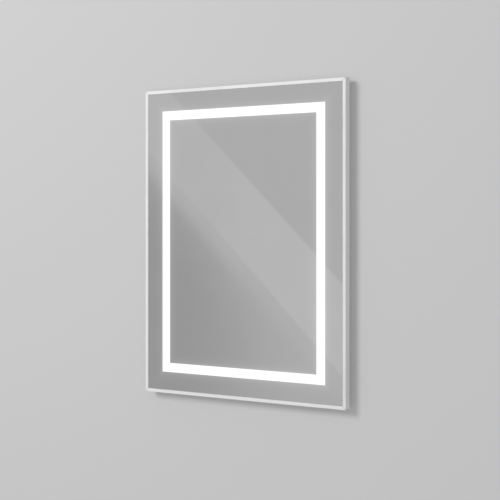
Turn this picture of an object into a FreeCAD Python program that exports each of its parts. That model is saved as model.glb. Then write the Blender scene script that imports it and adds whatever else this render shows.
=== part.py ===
import FreeCAD, Part
import math
import os
import re
import Sketcher

# Lighted bathroom mirror, 600 x 800 mm, hung on a rail.
# X is to the right as one faces the mirror, Y goes into the wall, Z is up.
# The origin lies on the wall plane, at the centre of the wall rail's two screw slots.

Vector = FreeCAD.Vector

# ---------------------------------------------------------------- driving sizes

SIZES = [
    # whole mirror
    ("mirror_width", 600, "outside width of the frame"),
    ("mirror_height", 800, "outside height of the frame"),
    ("frame_depth", 20, "frame, front to back"),
    ("wall_gap", 15, "back of the frame to the wall"),
    ("hanging_height", 90, "top of the frame above the wall rail's screws"),
    # frame extrusion
    ("frame_wall", 1.5, "outer wall of the extrusion"),
    ("face_width", 8, "frame, seen from the front"),
    ("face_thickness", 1.5, "wall behind the face"),
    ("stop_thickness", 1.5, "wall beside the edge of the glass"),
    ("edge_round", 0.3, "radius on the outer front edge"),
    ("rib_thickness", 1.2, "ribs and inner wall of the key chamber"),
    ("chamber_width", 12, "key chamber, inside, across the frame"),
    ("rebate_depth", 2.5, "rear rebate that takes the back panel"),
    # corner keys
    ("key_leg", 38, "corner key, outer corner of the frame to the end of a leg"),
    ("key_clearance", 0.15, "corner key to each wall of its chamber"),
    ("key_bevel", 1.2, "ends of a corner key's legs, which start it into the chamber"),
    ("key_screw_inset", 20, "corner of the frame to a key screw"),
    ("key_screw_radius", 2, "grub screw in a corner key"),
    ("key_screw_way", 0.3, "radius, that screw in the rear wall of the chamber"),
    # glass and its seat
    ("glass_thickness", 4, "mirror glass"),
    ("glass_setback", 0.2, "face of the glass behind the face of the frame"),
    ("glass_clearance", 0.6, "edge of the glass to the frame's stop"),
    ("glass_arris", 0.4, "ground edge of the glass"),
    ("tape_thickness", 1, "adhesive glazing tape behind the glass"),
    ("tape_setback", 0.5, "tape to the edge of the glass and to the edge of its ledge"),
    ("gasket_setback", 0.8, "edge gasket behind the face of the frame"),
    ("band_inset", 56, "edge of the frame to the lit band"),
    ("band_width", 24, "lit band"),
    ("etch_depth", 0.1, "silvering and glass taken off the rear at the band"),
    # lighting channel behind the band
    ("channel_width", 30, "channel, outside"),
    ("channel_wall", 1.2, "side walls of the channel"),
    ("channel_base", 1.5, "base of the channel"),
    ("channel_gap", 0.5, "base of the channel to the back panel"),
    ("ledge_width", 1, "ledge that carries the diffuser"),
    ("ledge_thickness", 0.8, "ledge, front to back"),
    ("diffuser_thickness", 1.5, "opal diffuser"),
    ("diffuser_clearance", 0.2, "diffuser to the channel's walls"),
    ("diffuser_glass_gap", 0.3, "diffuser to the glass"),
    # light strips
    ("strip_width", 10, "circuit of the light strip"),
    ("strip_thickness", 0.3, "circuit of the light strip"),
    ("strip_end_gap", 12, "least distance from a strip's end to the channel's corner"),
    ("chip_pitch", 16.7, "chip to chip along the strip"),
    ("chip_length", 3.5, "chip, along the strip"),
    ("chip_width", 2.8, "chip, across the strip"),
    ("chip_height", 0.7, "chip, off the strip"),
    ("link_width", 8, "flexible corner link between two strips"),
    ("link_thickness", 0.3, "corner link"),
    ("link_overlap", 4, "corner link over the end of a strip"),
    # back panel
    ("panel_thickness", 1.2, "sheet steel"),
    ("panel_clearance", 0.5, "edge of the panel to the frame's wall"),
    ("panel_screw_inset", 100, "corner of the frame to the first panel screw"),
    ("panel_screw_radius", 1.6, "self-tapping screw"),
    ("panel_screw_head", 2.8, "radius of its head"),
    ("panel_screw_rise", 1.1, "height of its head"),
    ("panel_screw_reach", 4, "screw past the front of the panel"),
    ("screw_clearance", 0.1, "radius, screws in their holes"),
    ("bead_place", 165, "stiffening bead off the middle of the panel"),
    ("bead_width", 9, "stiffening bead, outside"),
    ("bead_height", 1.6, "stiffening bead, off the panel"),
    ("bead_end_inset", 135, "edge of the frame to the end of a bead"),
    # hanging rail and bar
    ("rail_length", 420, "wall rail"),
    ("rail_sheet", 2, "thickness of the wall rail"),
    ("rail_below", 16, "wall rail below its screws"),
    ("rail_above", 10, "wall rail's step above its screws"),
    ("rail_hook", 12, "wall rail's upstand above its step"),
    ("rail_slot_spacing", 350, "slot to slot"),
    ("rail_slot_length", 12, "slot, end to end"),
    ("rail_slot_radius", 2.75, "half the slot's width"),
    ("hanger_length", 400, "hanger bar"),
    ("hanger_sheet", 2, "thickness of the hanger bar"),
    ("hanger_flange", 36, "flange of the hanger bar on the panel"),
    ("hook_wall_gap", 1, "hanger bar's hook to the wall"),
    ("hook_clearance", 0.3, "hanger bar's hook to the rail's upstand"),
    ("hook_bottom_gap", 0.5, "hook to the rail's step"),
    ("bend_round", 1.5, "outer radius of a fold"),
    ("rivet_radius", 2, "rivet"),
    ("rivet_head", 4, "radius of its head"),
    ("rivet_rise", 1.3, "height of its head"),
    ("rivet_bevel", 0.9, "bevelled rim of its head"),
    ("rivet_bulb", 2.8, "radius of its blind end"),
    ("rivet_bulb_length", 2.2, "blind end"),
    ("rivet_drop", 25, "top of the hanger bar down to its rivets"),
    ("rivet_end_inset", 20, "end of the hanger bar to its first rivet"),
    # wall spacers
    ("spacer_inset", 100, "edge of the frame to a wall spacer"),
    ("spacer_foot", 12, "radius of a spacer at the panel"),
    ("spacer_tip", 9.5, "radius of a spacer at the wall"),
    ("spacer_rim", 2, "straight rim at the panel"),
    ("pad_radius", 8, "rubber pad"),
    ("pad_thickness", 2, "rubber pad"),
    ("pad_recess", 1, "rubber pad let into the spacer"),
    ("spacer_screw_radius", 2, "screw of a spacer"),
    ("spacer_screw_head", 3.8, "radius of its head"),
    ("spacer_screw_rise", 1.6, "height of its head"),
    ("spacer_screw_reach", 8, "screw inside the spacer"),
    ("spacer_bore_gap", 0.5, "end of the screw to the end of its bore"),
    # service cover
    ("cover_rise", 60, "middle of the cover above the middle of the mirror"),
    ("cover_width", 260, "cover, without its flanges"),
    ("cover_height", 110, "cover"),
    ("cover_sheet", 1, "thickness of the cover"),
    ("cover_headroom", 1.1, "driver to the inside of the cover"),
    ("cover_flange", 12, "screwed flange at each side"),
    ("cover_flange_height", 100, "screwed flange, upright"),
    ("cover_flange_round", 3, "corners of the flanges"),
    ("cover_round", 1.5, "folds of the cover"),
    ("cover_screw_spacing", 80, "cover screw to cover screw"),
    ("cover_screw_radius", 1.5, "screw of the cover"),
    ("cover_screw_head", 2.8, "radius of its head"),
    ("cover_screw_rise", 1.5, "height of its head"),
    ("cover_screw_reach", 2.5, "screw past the front of the panel"),
    ("vent_length", 28, "vent slot"),
    ("vent_width", 3, "vent slot"),
    ("vent_pitch", 8, "vent to vent"),
    ("vent_place", 80, "middle of the cover to the middle of a group of vents"),
    ("vent_drop", 22, "middle of the cover down to the vents"),
    ("vent_count", 6, "vents in a group"),
    # mains inlet
    ("inlet_inset", 45, "side wall of the cover to the cable inlet"),
    ("inlet_bore", 3.7, "radius of the grommet's bore"),
    ("inlet_neck", 4.6, "radius of the grommet's neck"),
    ("inlet_flange", 5.6, "radius of the grommet's flanges"),
    ("inlet_flange_thickness", 1.6, "flanges of the grommet"),
    ("grommet_clearance", 0.05, "neck of a grommet in its hole"),
    # driver
    ("driver_bush_gap", 2.5, "driver's ear to the bush of the LED leads"),
    ("driver_rise", 25, "middle of the cover up to the driver"),
    ("driver_length", 150, "driver housing"),
    ("driver_width", 38, "driver housing"),
    ("driver_height", 11, "driver housing with its lid"),
    ("driver_wall", 1.5, "walls of the driver housing"),
    ("driver_round", 3, "upright corners of the driver housing"),
    ("driver_ear", 8, "fixing ear at each end"),
    ("driver_ear_width", 16, "fixing ear"),
    ("driver_ear_round", 2.5, "corners of the ears"),
    ("driver_screw_radius", 1.5, "screw of the driver"),
    ("driver_screw_head", 2.8, "radius of its head"),
    ("driver_screw_rise", 1.5, "height of its head"),
    ("lid_thickness", 1.2, "lid of the driver"),
    ("lid_clearance", 0.15, "lid to the housing's walls"),
    ("board_thickness", 1.6, "circuit board"),
    ("board_standoff", 0.8, "board off the housing's floor"),
    ("board_clearance", 0.5, "board to the housing's walls"),
    ("standoff_radius", 1.6, "standoff under the board"),
    ("standoff_inset", 18, "end of the board to its standoffs"),
    ("standoff_edge", 4.5, "long edge of the board to its standoffs"),
    ("transformer_length", 21, "transformer, at the middle of the board"),
    ("transformer_width", 17, "transformer"),
    ("switch_length", 10.5, "switching device on its heat sink"),
    ("switch_width", 8.5, "switching device"),
    ("switch_place", 29, "middle of the board to the switching device"),
    ("block_lid_gap", 0.6, "transformer and switching device to the lid"),
    ("capacitor_radius", 4.25, "one of the two capacitors"),
    ("capacitor_inset", 36, "end of the board to the capacitors"),
    ("choke_radius", 3.8, "choke"),
    ("choke_inset", 27, "other end of the board to the choke"),
    ("can_offset", 6.8, "middle line of the board to the capacitors and the choke"),
    ("can_lid_gap", 1.2, "capacitors and choke to the lid"),
    # terminal block
    ("terminal_drop", 12, "middle of the cover down to the terminal block"),
    ("terminal_pitch", 8, "pole to pole"),
    ("terminal_height", 18, "terminal block, along the wires"),
    ("terminal_depth", 10, "terminal block, off the panel"),
    ("terminal_bevel", 0.5, "edges of the terminal block"),
    ("terminal_groove", 1, "groove between two poles"),
    ("terminal_entry", 1.9, "radius of a wire entry"),
    ("terminal_entry_depth", 6, "wire entry"),
    ("terminal_screw_radius", 1.4, "clamping screw"),
    ("terminal_screw_height", 2, "clamping screw above the floor of its well"),
    ("terminal_well", 1.7, "radius of a clamping screw's well"),
    ("terminal_well_depth", 3, "that well"),
    # earth stud
    ("stud_rise", 33, "middle of the cover up to the earth stud"),
    ("stud_radius", 2, "earth stud"),
    ("stud_length", 9, "earth stud, off the panel"),
    ("nut_flats", 7, "nut, across its flats"),
    ("nut_height", 3.2, "nut"),
    ("lug_radius", 4.5, "eye of the ring lug"),
    ("lug_thickness", 0.8, "ring lug"),
    ("lug_tail", 9, "middle of the eye to the end of the lug's barrel"),
    ("lug_clearance", 0.05, "radius, lead in the lug's barrel"),
    # leads
    ("lead_radius", 0.9, "insulated lead"),
    ("lead_bend", 4, "bends of the leads"),
    ("lead_spacing", 4, "one lead to the other of a pair"),
    ("lead_rise", 5.5, "leads off the panel, under the cover"),
    ("lead_hole_clearance", 0.2, "radius, lead in a hole"),
    ("lead_insertion", 5, "lead inside a terminal or housing"),
    ("earth_slope_start", 6.5, "middle of the cover up to the slope of the earth lead"),
    ("earth_slope_height", 6.5, "that slope, upright"),
    ("bush_wall_gap", 2.5, "bush of the LED leads to the cover's side wall"),
    ("bush_bore", 3.4, "radius of that bush's bore"),
    ("bush_neck", 4.5, "its neck"),
    ("bush_flange", 5.5, "its flanges"),
    ("bush_flange_thickness", 0.8, "its flanges"),
    ("clip_length", 6, "lead clip, along the leads"),
    ("clip_width", 11, "lead clip"),
    ("pad_seat_gap", 0.1, "end of an LED lead over the strip's pad"),
    ("pad_offset", 2.5, "end of an LED lead off the strip's middle"),
]

RAIL_PANEL_SCREWS = 3
STILE_PANEL_SCREWS = 3
RIVETS = 4

document = FreeCAD.newDocument("lighted_mirror")
dims = document.addObject("Spreadsheet::Sheet", "dims")
for row, (size_name, size_value, meaning) in enumerate(SIZES, start=1):
    dims.set(f"A{row}", meaning)
    dims.set(f"B{row}", str(size_value))
    dims.setAlias(f"B{row}", size_name)
document.recompute()

SIZE_NAMES = {size_name for size_name, size_value, meaning in SIZES}
nodes = []


def formula(text):
    """The sheet's formula for a text that names sizes, such as 'mirror_width / 2'."""
    return re.sub(r"[a-z_]+", lambda word: "dims." * (word.group() in SIZE_NAMES) + word.group(), text)


def measure(text):
    """The number that such a text stands for, in mm."""
    return float(dims.evalExpression(formula(text)))


def bind(thing, name, text):
    thing.setExpression(name, formula(text))


# ---------------------------------------------------------------- places that pieces share

HALF_WIDTH = "(mirror_width / 2)"
HALF_HEIGHT = "(mirror_height / 2)"

# In the mirror's own frame, y starts at the front of the frame and z at the middle.
MIRROR = ("0", "(0 - wall_gap - frame_depth)", "(hanging_height - mirror_height / 2)")
GLASS_EDGE = "(face_width + glass_clearance)"
GLASS_BACK = "(glass_setback + glass_thickness)"
LEDGE_FRONT = f"({GLASS_BACK} + tape_thickness)"
CHAMBER_FRONT = f"({LEDGE_FRONT} + rib_thickness)"
PANEL_FRONT = "(frame_depth - rebate_depth)"
CHAMBER_BACK = f"({PANEL_FRONT} - rib_thickness)"
PANEL_BACK = f"({PANEL_FRONT} + panel_thickness)"
PANEL_TO_WALL = f"(frame_depth + wall_gap - {PANEL_BACK})"
FRAME_INNER = "(frame_wall + chamber_width + rib_thickness)"
FRAME_SCREW_LINE = "(frame_wall + chamber_width / 2)"
BAND_LINE = "(band_inset + band_width / 2)"
CHANNEL_DEPTH = f"({PANEL_FRONT} - {GLASS_BACK} - channel_gap)"
STRIP_BACK = f"({CHANNEL_DEPTH} - channel_base)"
STRIP_FRONT = f"({STRIP_BACK} - strip_thickness)"
LED_LEAD_LEVEL = f"({STRIP_FRONT} - pad_seat_gap - lead_radius)"

# Under the service cover, y starts at the back of the panel and x and z at the cover's middle.
COVER = ("0", f"(0 - {PANEL_TO_WALL})", f"({MIRROR[2]} + cover_rise)")
COVER_DEPTH = "(driver_height + cover_headroom + cover_sheet)"
INLET_LINE = "(cover_width / 2 - inlet_inset)"
INLET_LEVEL = f"(({COVER_DEPTH} - cover_sheet) / 2)"
LEAD_HOLE_LINE = "(cover_sheet + bush_wall_gap + bush_flange - cover_width / 2)"
DRIVER_END = f"({LEAD_HOLE_LINE} + bush_flange + driver_bush_gap + driver_ear)"
DRIVER_LINE = f"({DRIVER_END} + driver_length / 2)"
DRIVER_SCREW_LINE = "((driver_length + driver_ear) / 2)"
COVER_SCREW_PLACES = [
    (f"{side} * (cover_width + cover_flange) / 2", f"{end} * cover_screw_spacing / 2")
    for side in (-1, 1)
    for end in (-1, 1)
]
TERMINAL_POLES = ("-1 * terminal_pitch", "0", "terminal_pitch")
EARTH_LINE = f"({INLET_LINE} + {TERMINAL_POLES[2]})"
DRIVER_SCREW_PLACES = [
    (f"{side} * {DRIVER_SCREW_LINE} + {DRIVER_LINE}", "driver_rise") for side in (-1, 1)
]


def moved(place, x="0", y="0", z="0"):
    return tuple(f"({start} + {step})" for start, step in zip(place, (x, y, z)))


def row_of_places(span, count):
    """Evenly spaced places from one end of a span to the other, about its middle."""
    return [f"({span}) * {2 * index - count + 1} / {2 * (count - 1)}" for index in range(count)]


def panel_screw_row(length, count):
    return row_of_places(f"{length} - 2 * panel_screw_inset", count)


PANEL_SCREW_PLACES = [
    (x, f"{side} * ({HALF_HEIGHT} - {FRAME_SCREW_LINE})")
    for side in (-1, 1)
    for x in panel_screw_row("mirror_width", RAIL_PANEL_SCREWS)
] + [
    (f"{side} * ({HALF_WIDTH} - {FRAME_SCREW_LINE})", z)
    for side in (-1, 1)
    for z in panel_screw_row("mirror_height", STILE_PANEL_SCREWS)
]

KEY_SCREW_PLACES = [
    (f"{across} * ({HALF_WIDTH} - {inset_x})", f"{up} * ({HALF_HEIGHT} - {inset_z})")
    for across in (-1, 1)
    for up in (-1, 1)
    for inset_x, inset_z in ((FRAME_SCREW_LINE, "key_screw_inset"), ("key_screw_inset", FRAME_SCREW_LINE))
]

# The hanger bar's rivets and the wall spacers, in the mirror's frame.
HANGER_TOP = "(rail_above + rail_hook + hanger_sheet)"
RIVET_HEIGHT = f"({HANGER_TOP} - rivet_drop - {MIRROR[2]})"
RIVET_PLACES = [(x, RIVET_HEIGHT) for x in row_of_places("hanger_length - 2 * rivet_end_inset", RIVETS)]
SPACER_PLACES = [
    (f"{side} * ({HALF_WIDTH} - spacer_inset)", f"(spacer_inset - {HALF_HEIGHT})") for side in (-1, 1)
]


# ---------------------------------------------------------------- sketches and features

SAME_PLACE = 0.01


def new_body(label, place=("0", "0", "0"), turn=0):
    """A body whose place follows the sheet; turn is about the front-to-back axis, in degrees."""
    body = document.addObject("PartDesign::Body", label)
    body.Label = label
    spot = Vector(*[measure(text) for text in place])
    body.Placement = FreeCAD.Placement(spot, FreeCAD.Rotation(Vector(0, 1, 0), turn))
    for axis, text in zip("xyz", place):
        bind(body, f".Placement.Base.{axis}", text)
    nodes.append(body)
    return body


def origin_feature(body, role):
    return next(item for item in body.Origin.OriginFeatures if item.Role == role)


def new_sketch(body, plane, start="0"):
    """A sketch parallel to an origin plane, at a distance along that plane's axis (+X, +Y or +Z)."""
    sketch = body.newObject("Sketcher::SketchObject", "sketch")
    sketch.AttachmentSupport = [(origin_feature(body, plane), "")]
    sketch.MapMode = "FlatFace"
    sense = "-1" if plane == "XZ_Plane" else "1"
    bind(sketch, ".AttachmentOffset.Base.z", f"{sense} * ({start})")
    return sketch


def fix_point(sketch, curve, end, x, y):
    for kind, text in (("DistanceX", x), ("DistanceY", y)):
        index = sketch.addConstraint(Sketcher.Constraint(kind, -1, 1, curve, end, measure(text)))
        bind(sketch, f"Constraints[{index}]", text)


def draw_polygon(sketch, points):
    corners = [Vector(measure(x), measure(y), 0) for x, y in points]
    first = sketch.GeometryCount
    for start, end in zip(corners, corners[1:] + corners[:1]):
        sketch.addGeometry(Part.LineSegment(start, end), False)
    for index, (x, y) in enumerate(points):
        following = first + (index + 1) % len(points)
        sketch.addConstraint(Sketcher.Constraint("Coincident", first + index, 2, following, 1))
        fix_point(sketch, first + index, 1, x, y)


def draw_rectangle(sketch, low, high):
    (left, bottom), (right, top) = low, high
    draw_polygon(sketch, [(left, bottom), (right, bottom), (right, top), (left, top)])


def draw_centred(sketch, width, height, x="0", y="0"):
    low = (f"{x} - ({width}) / 2", f"{y} - ({height}) / 2")
    high = (f"{x} + ({width}) / 2", f"{y} + ({height}) / 2")
    draw_rectangle(sketch, low, high)


def draw_circle(sketch, x, y, radius):
    centre = Vector(measure(x), measure(y), 0)
    curve = sketch.addGeometry(Part.Circle(centre, Vector(0, 0, 1), measure(radius)), False)
    fix_point(sketch, curve, 3, x, y)
    index = sketch.addConstraint(Sketcher.Constraint("Radius", curve, measure(radius)))
    bind(sketch, f"Constraints[{index}]", radius)


def draw_slot(sketch, x, y, length, radius, upright=False):
    """A slot with round ends, of a length from end to end."""
    reach = f"(({length}) / 2 - {radius})"
    middle = Vector(measure(x), measure(y), 0)
    along = Vector(0, 1, 0) if upright else Vector(1, 0, 0)
    aside = Vector(-along.y, along.x, 0) * measure(radius)
    caps = []
    for sign in (-1, 1):
        centre = middle + along * sign * measure(reach)
        tip = centre + along * sign * measure(radius)
        cap = Part.Arc(centre - aside * sign, tip, centre + aside * sign)
        caps.append(sketch.addGeometry(cap, False))
        shift = f" + {sign} * {reach}"
        fix_point(sketch, caps[-1], 3, x + ("" if upright else shift), y + (shift if upright else ""))
    for sign, first_end, second_end in ((1, 1, 2), (-1, 2, 1)):
        edge_middle = middle + aside * sign
        half = along * measure(reach)
        side = sketch.addGeometry(Part.LineSegment(edge_middle - half, edge_middle + half), False)
        sketch.addConstraint(Sketcher.Constraint("Tangent", side, 1, caps[0], first_end))
        sketch.addConstraint(Sketcher.Constraint("Tangent", side, 2, caps[1], second_end))
    index = sketch.addConstraint(Sketcher.Constraint("Radius", caps[0], measure(radius)))
    bind(sketch, f"Constraints[{index}]", radius)
    sketch.addConstraint(Sketcher.Constraint("Equal", caps[0], caps[1]))


def goes_backwards(sketch):
    """The front plane's own normal points to -Y; every pad and cut here goes to + of its axis."""
    return sketch.AttachmentSupport[0][0].Role == "XZ_Plane"


def add_pad(body, sketch, length, midplane=False):
    pad = body.newObject("PartDesign::Pad", "pad")
    pad.Profile = sketch
    pad.Midplane = midplane
    pad.Reversed = goes_backwards(sketch)
    bind(pad, "Length", length)
    document.recompute()
    return pad


def add_pocket(body, sketch, length, midplane=False):
    """A cut that must take something away."""
    before = body.Shape.Volume
    pocket = body.newObject("PartDesign::Pocket", "pocket")
    pocket.Profile = sketch
    pocket.Midplane = midplane
    pocket.Reversed = not goes_backwards(sketch)
    bind(pocket, "Length", length)
    document.recompute()
    if body.Shape.Volume >= before:
        raise RuntimeError(f"{body.Label}: a cut missed the solid")
    return pocket


def add_revolution(body, sketch, axis):
    turned = body.newObject("PartDesign::Revolution", "revolution")
    turned.Profile = sketch
    turned.ReferenceAxis = (sketch, [axis])
    turned.Angle = 360
    document.recompute()
    return turned


def add_row(body, feature, axis, pitch, count):
    """Copies of a feature in a row along an axis of the body."""
    row = body.newObject("PartDesign::LinearPattern", "row")
    row.Originals = [feature]
    row.Direction = (origin_feature(body, axis), [""])
    row.Mode = "Spacing"
    bind(row, "Offset", pitch)
    bind(row, "Occurrences", count)
    body.Tip = row
    document.recompute()
    return row


def dress_edges(body, kind, size, along=None, **place):
    """Round or chamfer the edges that run along an axis and whose middles lie at a place, such as y="0"."""
    base = body.Tip
    levels = {axis: measure(text) for axis, text in place.items()}
    names = []
    for index, edge in enumerate(base.Shape.Edges, start=1):
        halfway = (edge.FirstParameter + edge.LastParameter) / 2
        middle = edge.valueAt(halfway)
        runs_along = along is None or abs(getattr(edge.tangentAt(halfway), along)) > 1 - SAME_PLACE
        in_place = all(abs(getattr(middle, axis) - level) < SAME_PLACE for axis, level in levels.items())
        if runs_along and in_place:
            names.append(f"Edge{index}")
    if not names:
        raise RuntimeError(f"{body.Label}: no edge to round")
    dressed = body.newObject(f"PartDesign::{kind}", kind.lower())
    dressed.Base = (base, names)
    bind(dressed, "Radius" if kind == "Fillet" else "Size", size)
    document.recompute()


def cut_mitres(body, length, reach):
    """45-degree cuts through both ends; length is taken at z = 0, and +z is the long side."""
    sketch = new_sketch(body, "XZ_Plane")
    for side in (-1, 1):
        outer = f"{side} * ({length} / 2 + {reach})"
        inner = f"{side} * ({length} / 2 - {reach})"
        draw_polygon(sketch, [(outer, reach), (outer, f"-1 * {reach}"), (inner, f"-1 * {reach}")])
    add_pocket(body, sketch, f"4 * {reach}", midplane=True)


def fasteners(label, place, places, steps, bevel=None):
    """Like fasteners in one node, stepped along y: (start, end, radius). The last end may get a bevel."""
    body = new_body(label, place)
    for start, end, radius in steps:
        sketch = new_sketch(body, "XZ_Plane", start)
        for x, z in places:
            draw_circle(sketch, x, z, radius)
        add_pad(body, sketch, f"{end} - ({start})")
    if bevel:
        dress_edges(body, "Chamfer", bevel, y=steps[-1][1])


# ---------------------------------------------------------------- frame


def frame_member(label, length, screw_count, place, turn):
    """One length of the extrusion, along x: outer wall at z = 0, inside towards -z, front at y = 0."""
    body = new_body(label, place, turn)
    section = new_sketch(body, "YZ_Plane")
    stop = "-1 * face_width"
    wall = "-1 * frame_wall"
    inner = f"-1 * {FRAME_INNER}"
    outline = [
        ("0", "0"),
        ("0", stop),
        (LEDGE_FRONT, stop),
        (LEDGE_FRONT, inner),
        (PANEL_FRONT, inner),
        (PANEL_FRONT, wall),
        ("frame_depth", wall),
        ("frame_depth", "0"),
    ]
    draw_polygon(section, outline)
    draw_rectangle(section, ("face_thickness", "stop_thickness - face_width"), (LEDGE_FRONT, wall))
    chamber_inner = "-1 * (frame_wall + chamber_width)"
    draw_rectangle(section, (CHAMBER_FRONT, chamber_inner), (CHAMBER_BACK, wall))
    add_pad(body, section, length, midplane=True)
    dress_edges(body, "Fillet", "edge_round", along="x", y="0", z="0")
    cut_mitres(body, length, f"(2 * {FRAME_INNER})")

    key_holes = new_sketch(body, "XZ_Plane", CHAMBER_BACK)
    for side in (-1, 1):
        x = f"{side} * ({length} / 2 - key_screw_inset)"
        draw_circle(key_holes, x, f"-1 * {FRAME_SCREW_LINE}", "key_screw_radius + key_screw_way")
    add_pocket(body, key_holes, "rib_thickness")

    pilot_holes = new_sketch(body, "XZ_Plane", CHAMBER_BACK)
    for x in panel_screw_row(length, screw_count):
        draw_circle(pilot_holes, x, f"-1 * {FRAME_SCREW_LINE}", "panel_screw_radius + screw_clearance")
    add_pocket(body, pilot_holes, "rib_thickness")


def frame():
    for label, length, screws, step_x, step_z, turn in (
        ("frame_rail_top", "mirror_width", RAIL_PANEL_SCREWS, "0", HALF_HEIGHT, 0),
        ("frame_stile_right", "mirror_height", STILE_PANEL_SCREWS, HALF_WIDTH, "0", 90),
        ("frame_rail_bottom", "mirror_width", RAIL_PANEL_SCREWS, "0", f"-1 * {HALF_HEIGHT}", 180),
        ("frame_stile_left", "mirror_height", STILE_PANEL_SCREWS, f"-1 * {HALF_WIDTH}", "0", 270),
    ):
        frame_member(label, length, screws, moved(MIRROR, x=step_x, z=step_z), turn)


def corner_keys():
    """L-shaped keys that slide into the chambers of two lengths and are clamped by two screws each."""
    outer = "-1 * (frame_wall + key_clearance)"
    inner = "-1 * (frame_wall + chamber_width - key_clearance)"
    end = "-1 * key_leg"
    corners = (
        ("corner_key_top_right", 1, 1, 0),
        ("corner_key_bottom_right", 1, -1, 90),
        ("corner_key_bottom_left", -1, -1, 180),
        ("corner_key_top_left", -1, 1, 270),
    )
    for label, across, up, turn in corners:
        place = moved(MIRROR, x=f"{across} * {HALF_WIDTH}", z=f"{up} * {HALF_HEIGHT}")
        body = new_body(label, place, turn)
        outline = new_sketch(body, "XZ_Plane", f"{CHAMBER_FRONT} + key_clearance")
        draw_polygon(
            outline,
            [(outer, outer), (outer, end), (inner, end), (inner, inner), (end, inner), (end, outer)],
        )
        depth = f"({CHAMBER_BACK} - {CHAMBER_FRONT} - 2 * key_clearance)"
        add_pad(body, outline, depth)
        for leg in ("x", "z"):
            dress_edges(body, "Chamfer", "key_bevel", along="y", **{leg: end})
        holes = new_sketch(body, "XZ_Plane", f"{CHAMBER_FRONT} + key_clearance")
        middle = f"-1 * {FRAME_SCREW_LINE}"
        for x, z in ((middle, "-1 * key_screw_inset"), ("-1 * key_screw_inset", middle)):
            draw_circle(holes, x, z, "key_screw_radius + screw_clearance")
        add_pocket(body, holes, depth)
    fasteners(
        "corner_key_screws",
        MIRROR,
        KEY_SCREW_PLACES,
        [(CHAMBER_FRONT, f"{PANEL_FRONT} - rib_thickness / 2", "key_screw_radius")],
    )


# ---------------------------------------------------------------- glass and its seat


def mirror_glass():
    body = new_body("mirror_glass", MIRROR)
    outline = new_sketch(body, "XZ_Plane", "glass_setback")
    draw_centred(outline, f"mirror_width - 2 * {GLASS_EDGE}", f"mirror_height - 2 * {GLASS_EDGE}")
    add_pad(body, outline, "glass_thickness")
    for face in ("glass_setback", GLASS_BACK):
        dress_edges(body, "Chamfer", "glass_arris", y=face)
    band = new_sketch(body, "XZ_Plane", f"{GLASS_BACK} - etch_depth")
    for inset in ("band_inset", "(band_inset + band_width)"):
        draw_centred(band, f"mirror_width - 2 * {inset}", f"mirror_height - 2 * {inset}")
    add_pocket(body, band, "etch_depth")


def glazing_ring(label, start, thickness, outer_edge, inner_edge):
    """A closed ring between two edges, both taken from the frame's outer edge."""
    body = new_body(label, MIRROR)
    ring = new_sketch(body, "XZ_Plane", start)
    for inset in (outer_edge, inner_edge):
        draw_centred(ring, f"mirror_width - 2 * {inset}", f"mirror_height - 2 * {inset}")
    add_pad(body, ring, thickness)


def glazing():
    """Adhesive tape on the frame's ledge holds the glass, and a gasket fills the gap round its edge."""
    tape_outer = f"({GLASS_EDGE} + tape_setback)"
    tape_inner = f"({FRAME_INNER} - tape_setback)"
    glazing_ring("glazing_tape", GLASS_BACK, "tape_thickness", tape_outer, tape_inner)
    gasket_depth = f"{LEDGE_FRONT} - gasket_setback"
    glazing_ring("glazing_gasket", "gasket_setback", gasket_depth, "face_width", GLASS_EDGE)


# ---------------------------------------------------------------- lighting

LIGHT_SIDES = (
    ("top", "mirror_width", "0", f"({HALF_HEIGHT} - {BAND_LINE})", 0),
    ("right", "mirror_height", f"({HALF_WIDTH} - {BAND_LINE})", "0", 90),
    ("bottom", "mirror_width", "0", f"({BAND_LINE} - {HALF_HEIGHT})", 180),
    ("left", "mirror_height", f"({BAND_LINE} - {HALF_WIDTH})", "0", 270),
)


def light_run(span):
    """Length of the band's middle line along one side."""
    return f"({span} - 2 * {BAND_LINE})"


def strip_length(span):
    """Light strips are cut at whole chip pitches."""
    return f"(floor(({light_run(span)} - 2 * strip_end_gap) / chip_pitch) * chip_pitch)"


def light_channel(side, span, place, turn):
    """U-section with two ledges for the diffuser; its mouth meets the glass at y = 0."""
    body = new_body(f"led_channel_{side}", place, turn)
    section = new_sketch(body, "YZ_Plane")
    outer = "channel_width / 2"
    inner = "(channel_width / 2 - channel_wall)"
    ledge = f"({inner} - ledge_width)"
    ledge_front = "(diffuser_glass_gap + diffuser_thickness)"
    ledge_back = f"({ledge_front} + ledge_thickness)"
    half = [
        ("0", outer),
        ("0", inner),
        (ledge_front, inner),
        (ledge_front, ledge),
        (ledge_back, ledge),
        (ledge_back, inner),
        (STRIP_BACK, inner),
    ]
    other_half = [(y, f"-1 * {z}") for y, z in reversed(half)]
    draw_polygon(section, half + other_half + [(CHANNEL_DEPTH, f"-1 * {outer}"), (CHANNEL_DEPTH, outer)])
    add_pad(body, section, f"{light_run(span)} + channel_width", midplane=True)
    cut_mitres(body, light_run(span), "channel_width")
    if side == "left":
        lead_way(body)


def lead_way(body):
    """Holes in the channel's inner wall for the pair of LED leads, at the height of the driver."""
    holes = new_sketch(body, "XY_Plane", "-1 * channel_width / 2")
    for lead in (-1, 1):
        along = f"cover_rise + driver_rise + {lead} * lead_spacing / 2"
        draw_circle(holes, along, LED_LEAD_LEVEL, "lead_radius + lead_hole_clearance")
    add_pocket(body, holes, "channel_wall")


def diffuser(side, span, place, turn):
    body = new_body(f"diffuser_{side}", place, turn)
    section = new_sketch(body, "YZ_Plane")
    half = "(channel_width / 2 - channel_wall - diffuser_clearance)"
    back = "(diffuser_glass_gap + diffuser_thickness)"
    draw_rectangle(section, ("diffuser_glass_gap", f"-1 * {half}"), (back, half))
    add_pad(body, section, f"{light_run(span)} + channel_width", midplane=True)
    cut_mitres(body, light_run(span), "channel_width")


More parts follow.
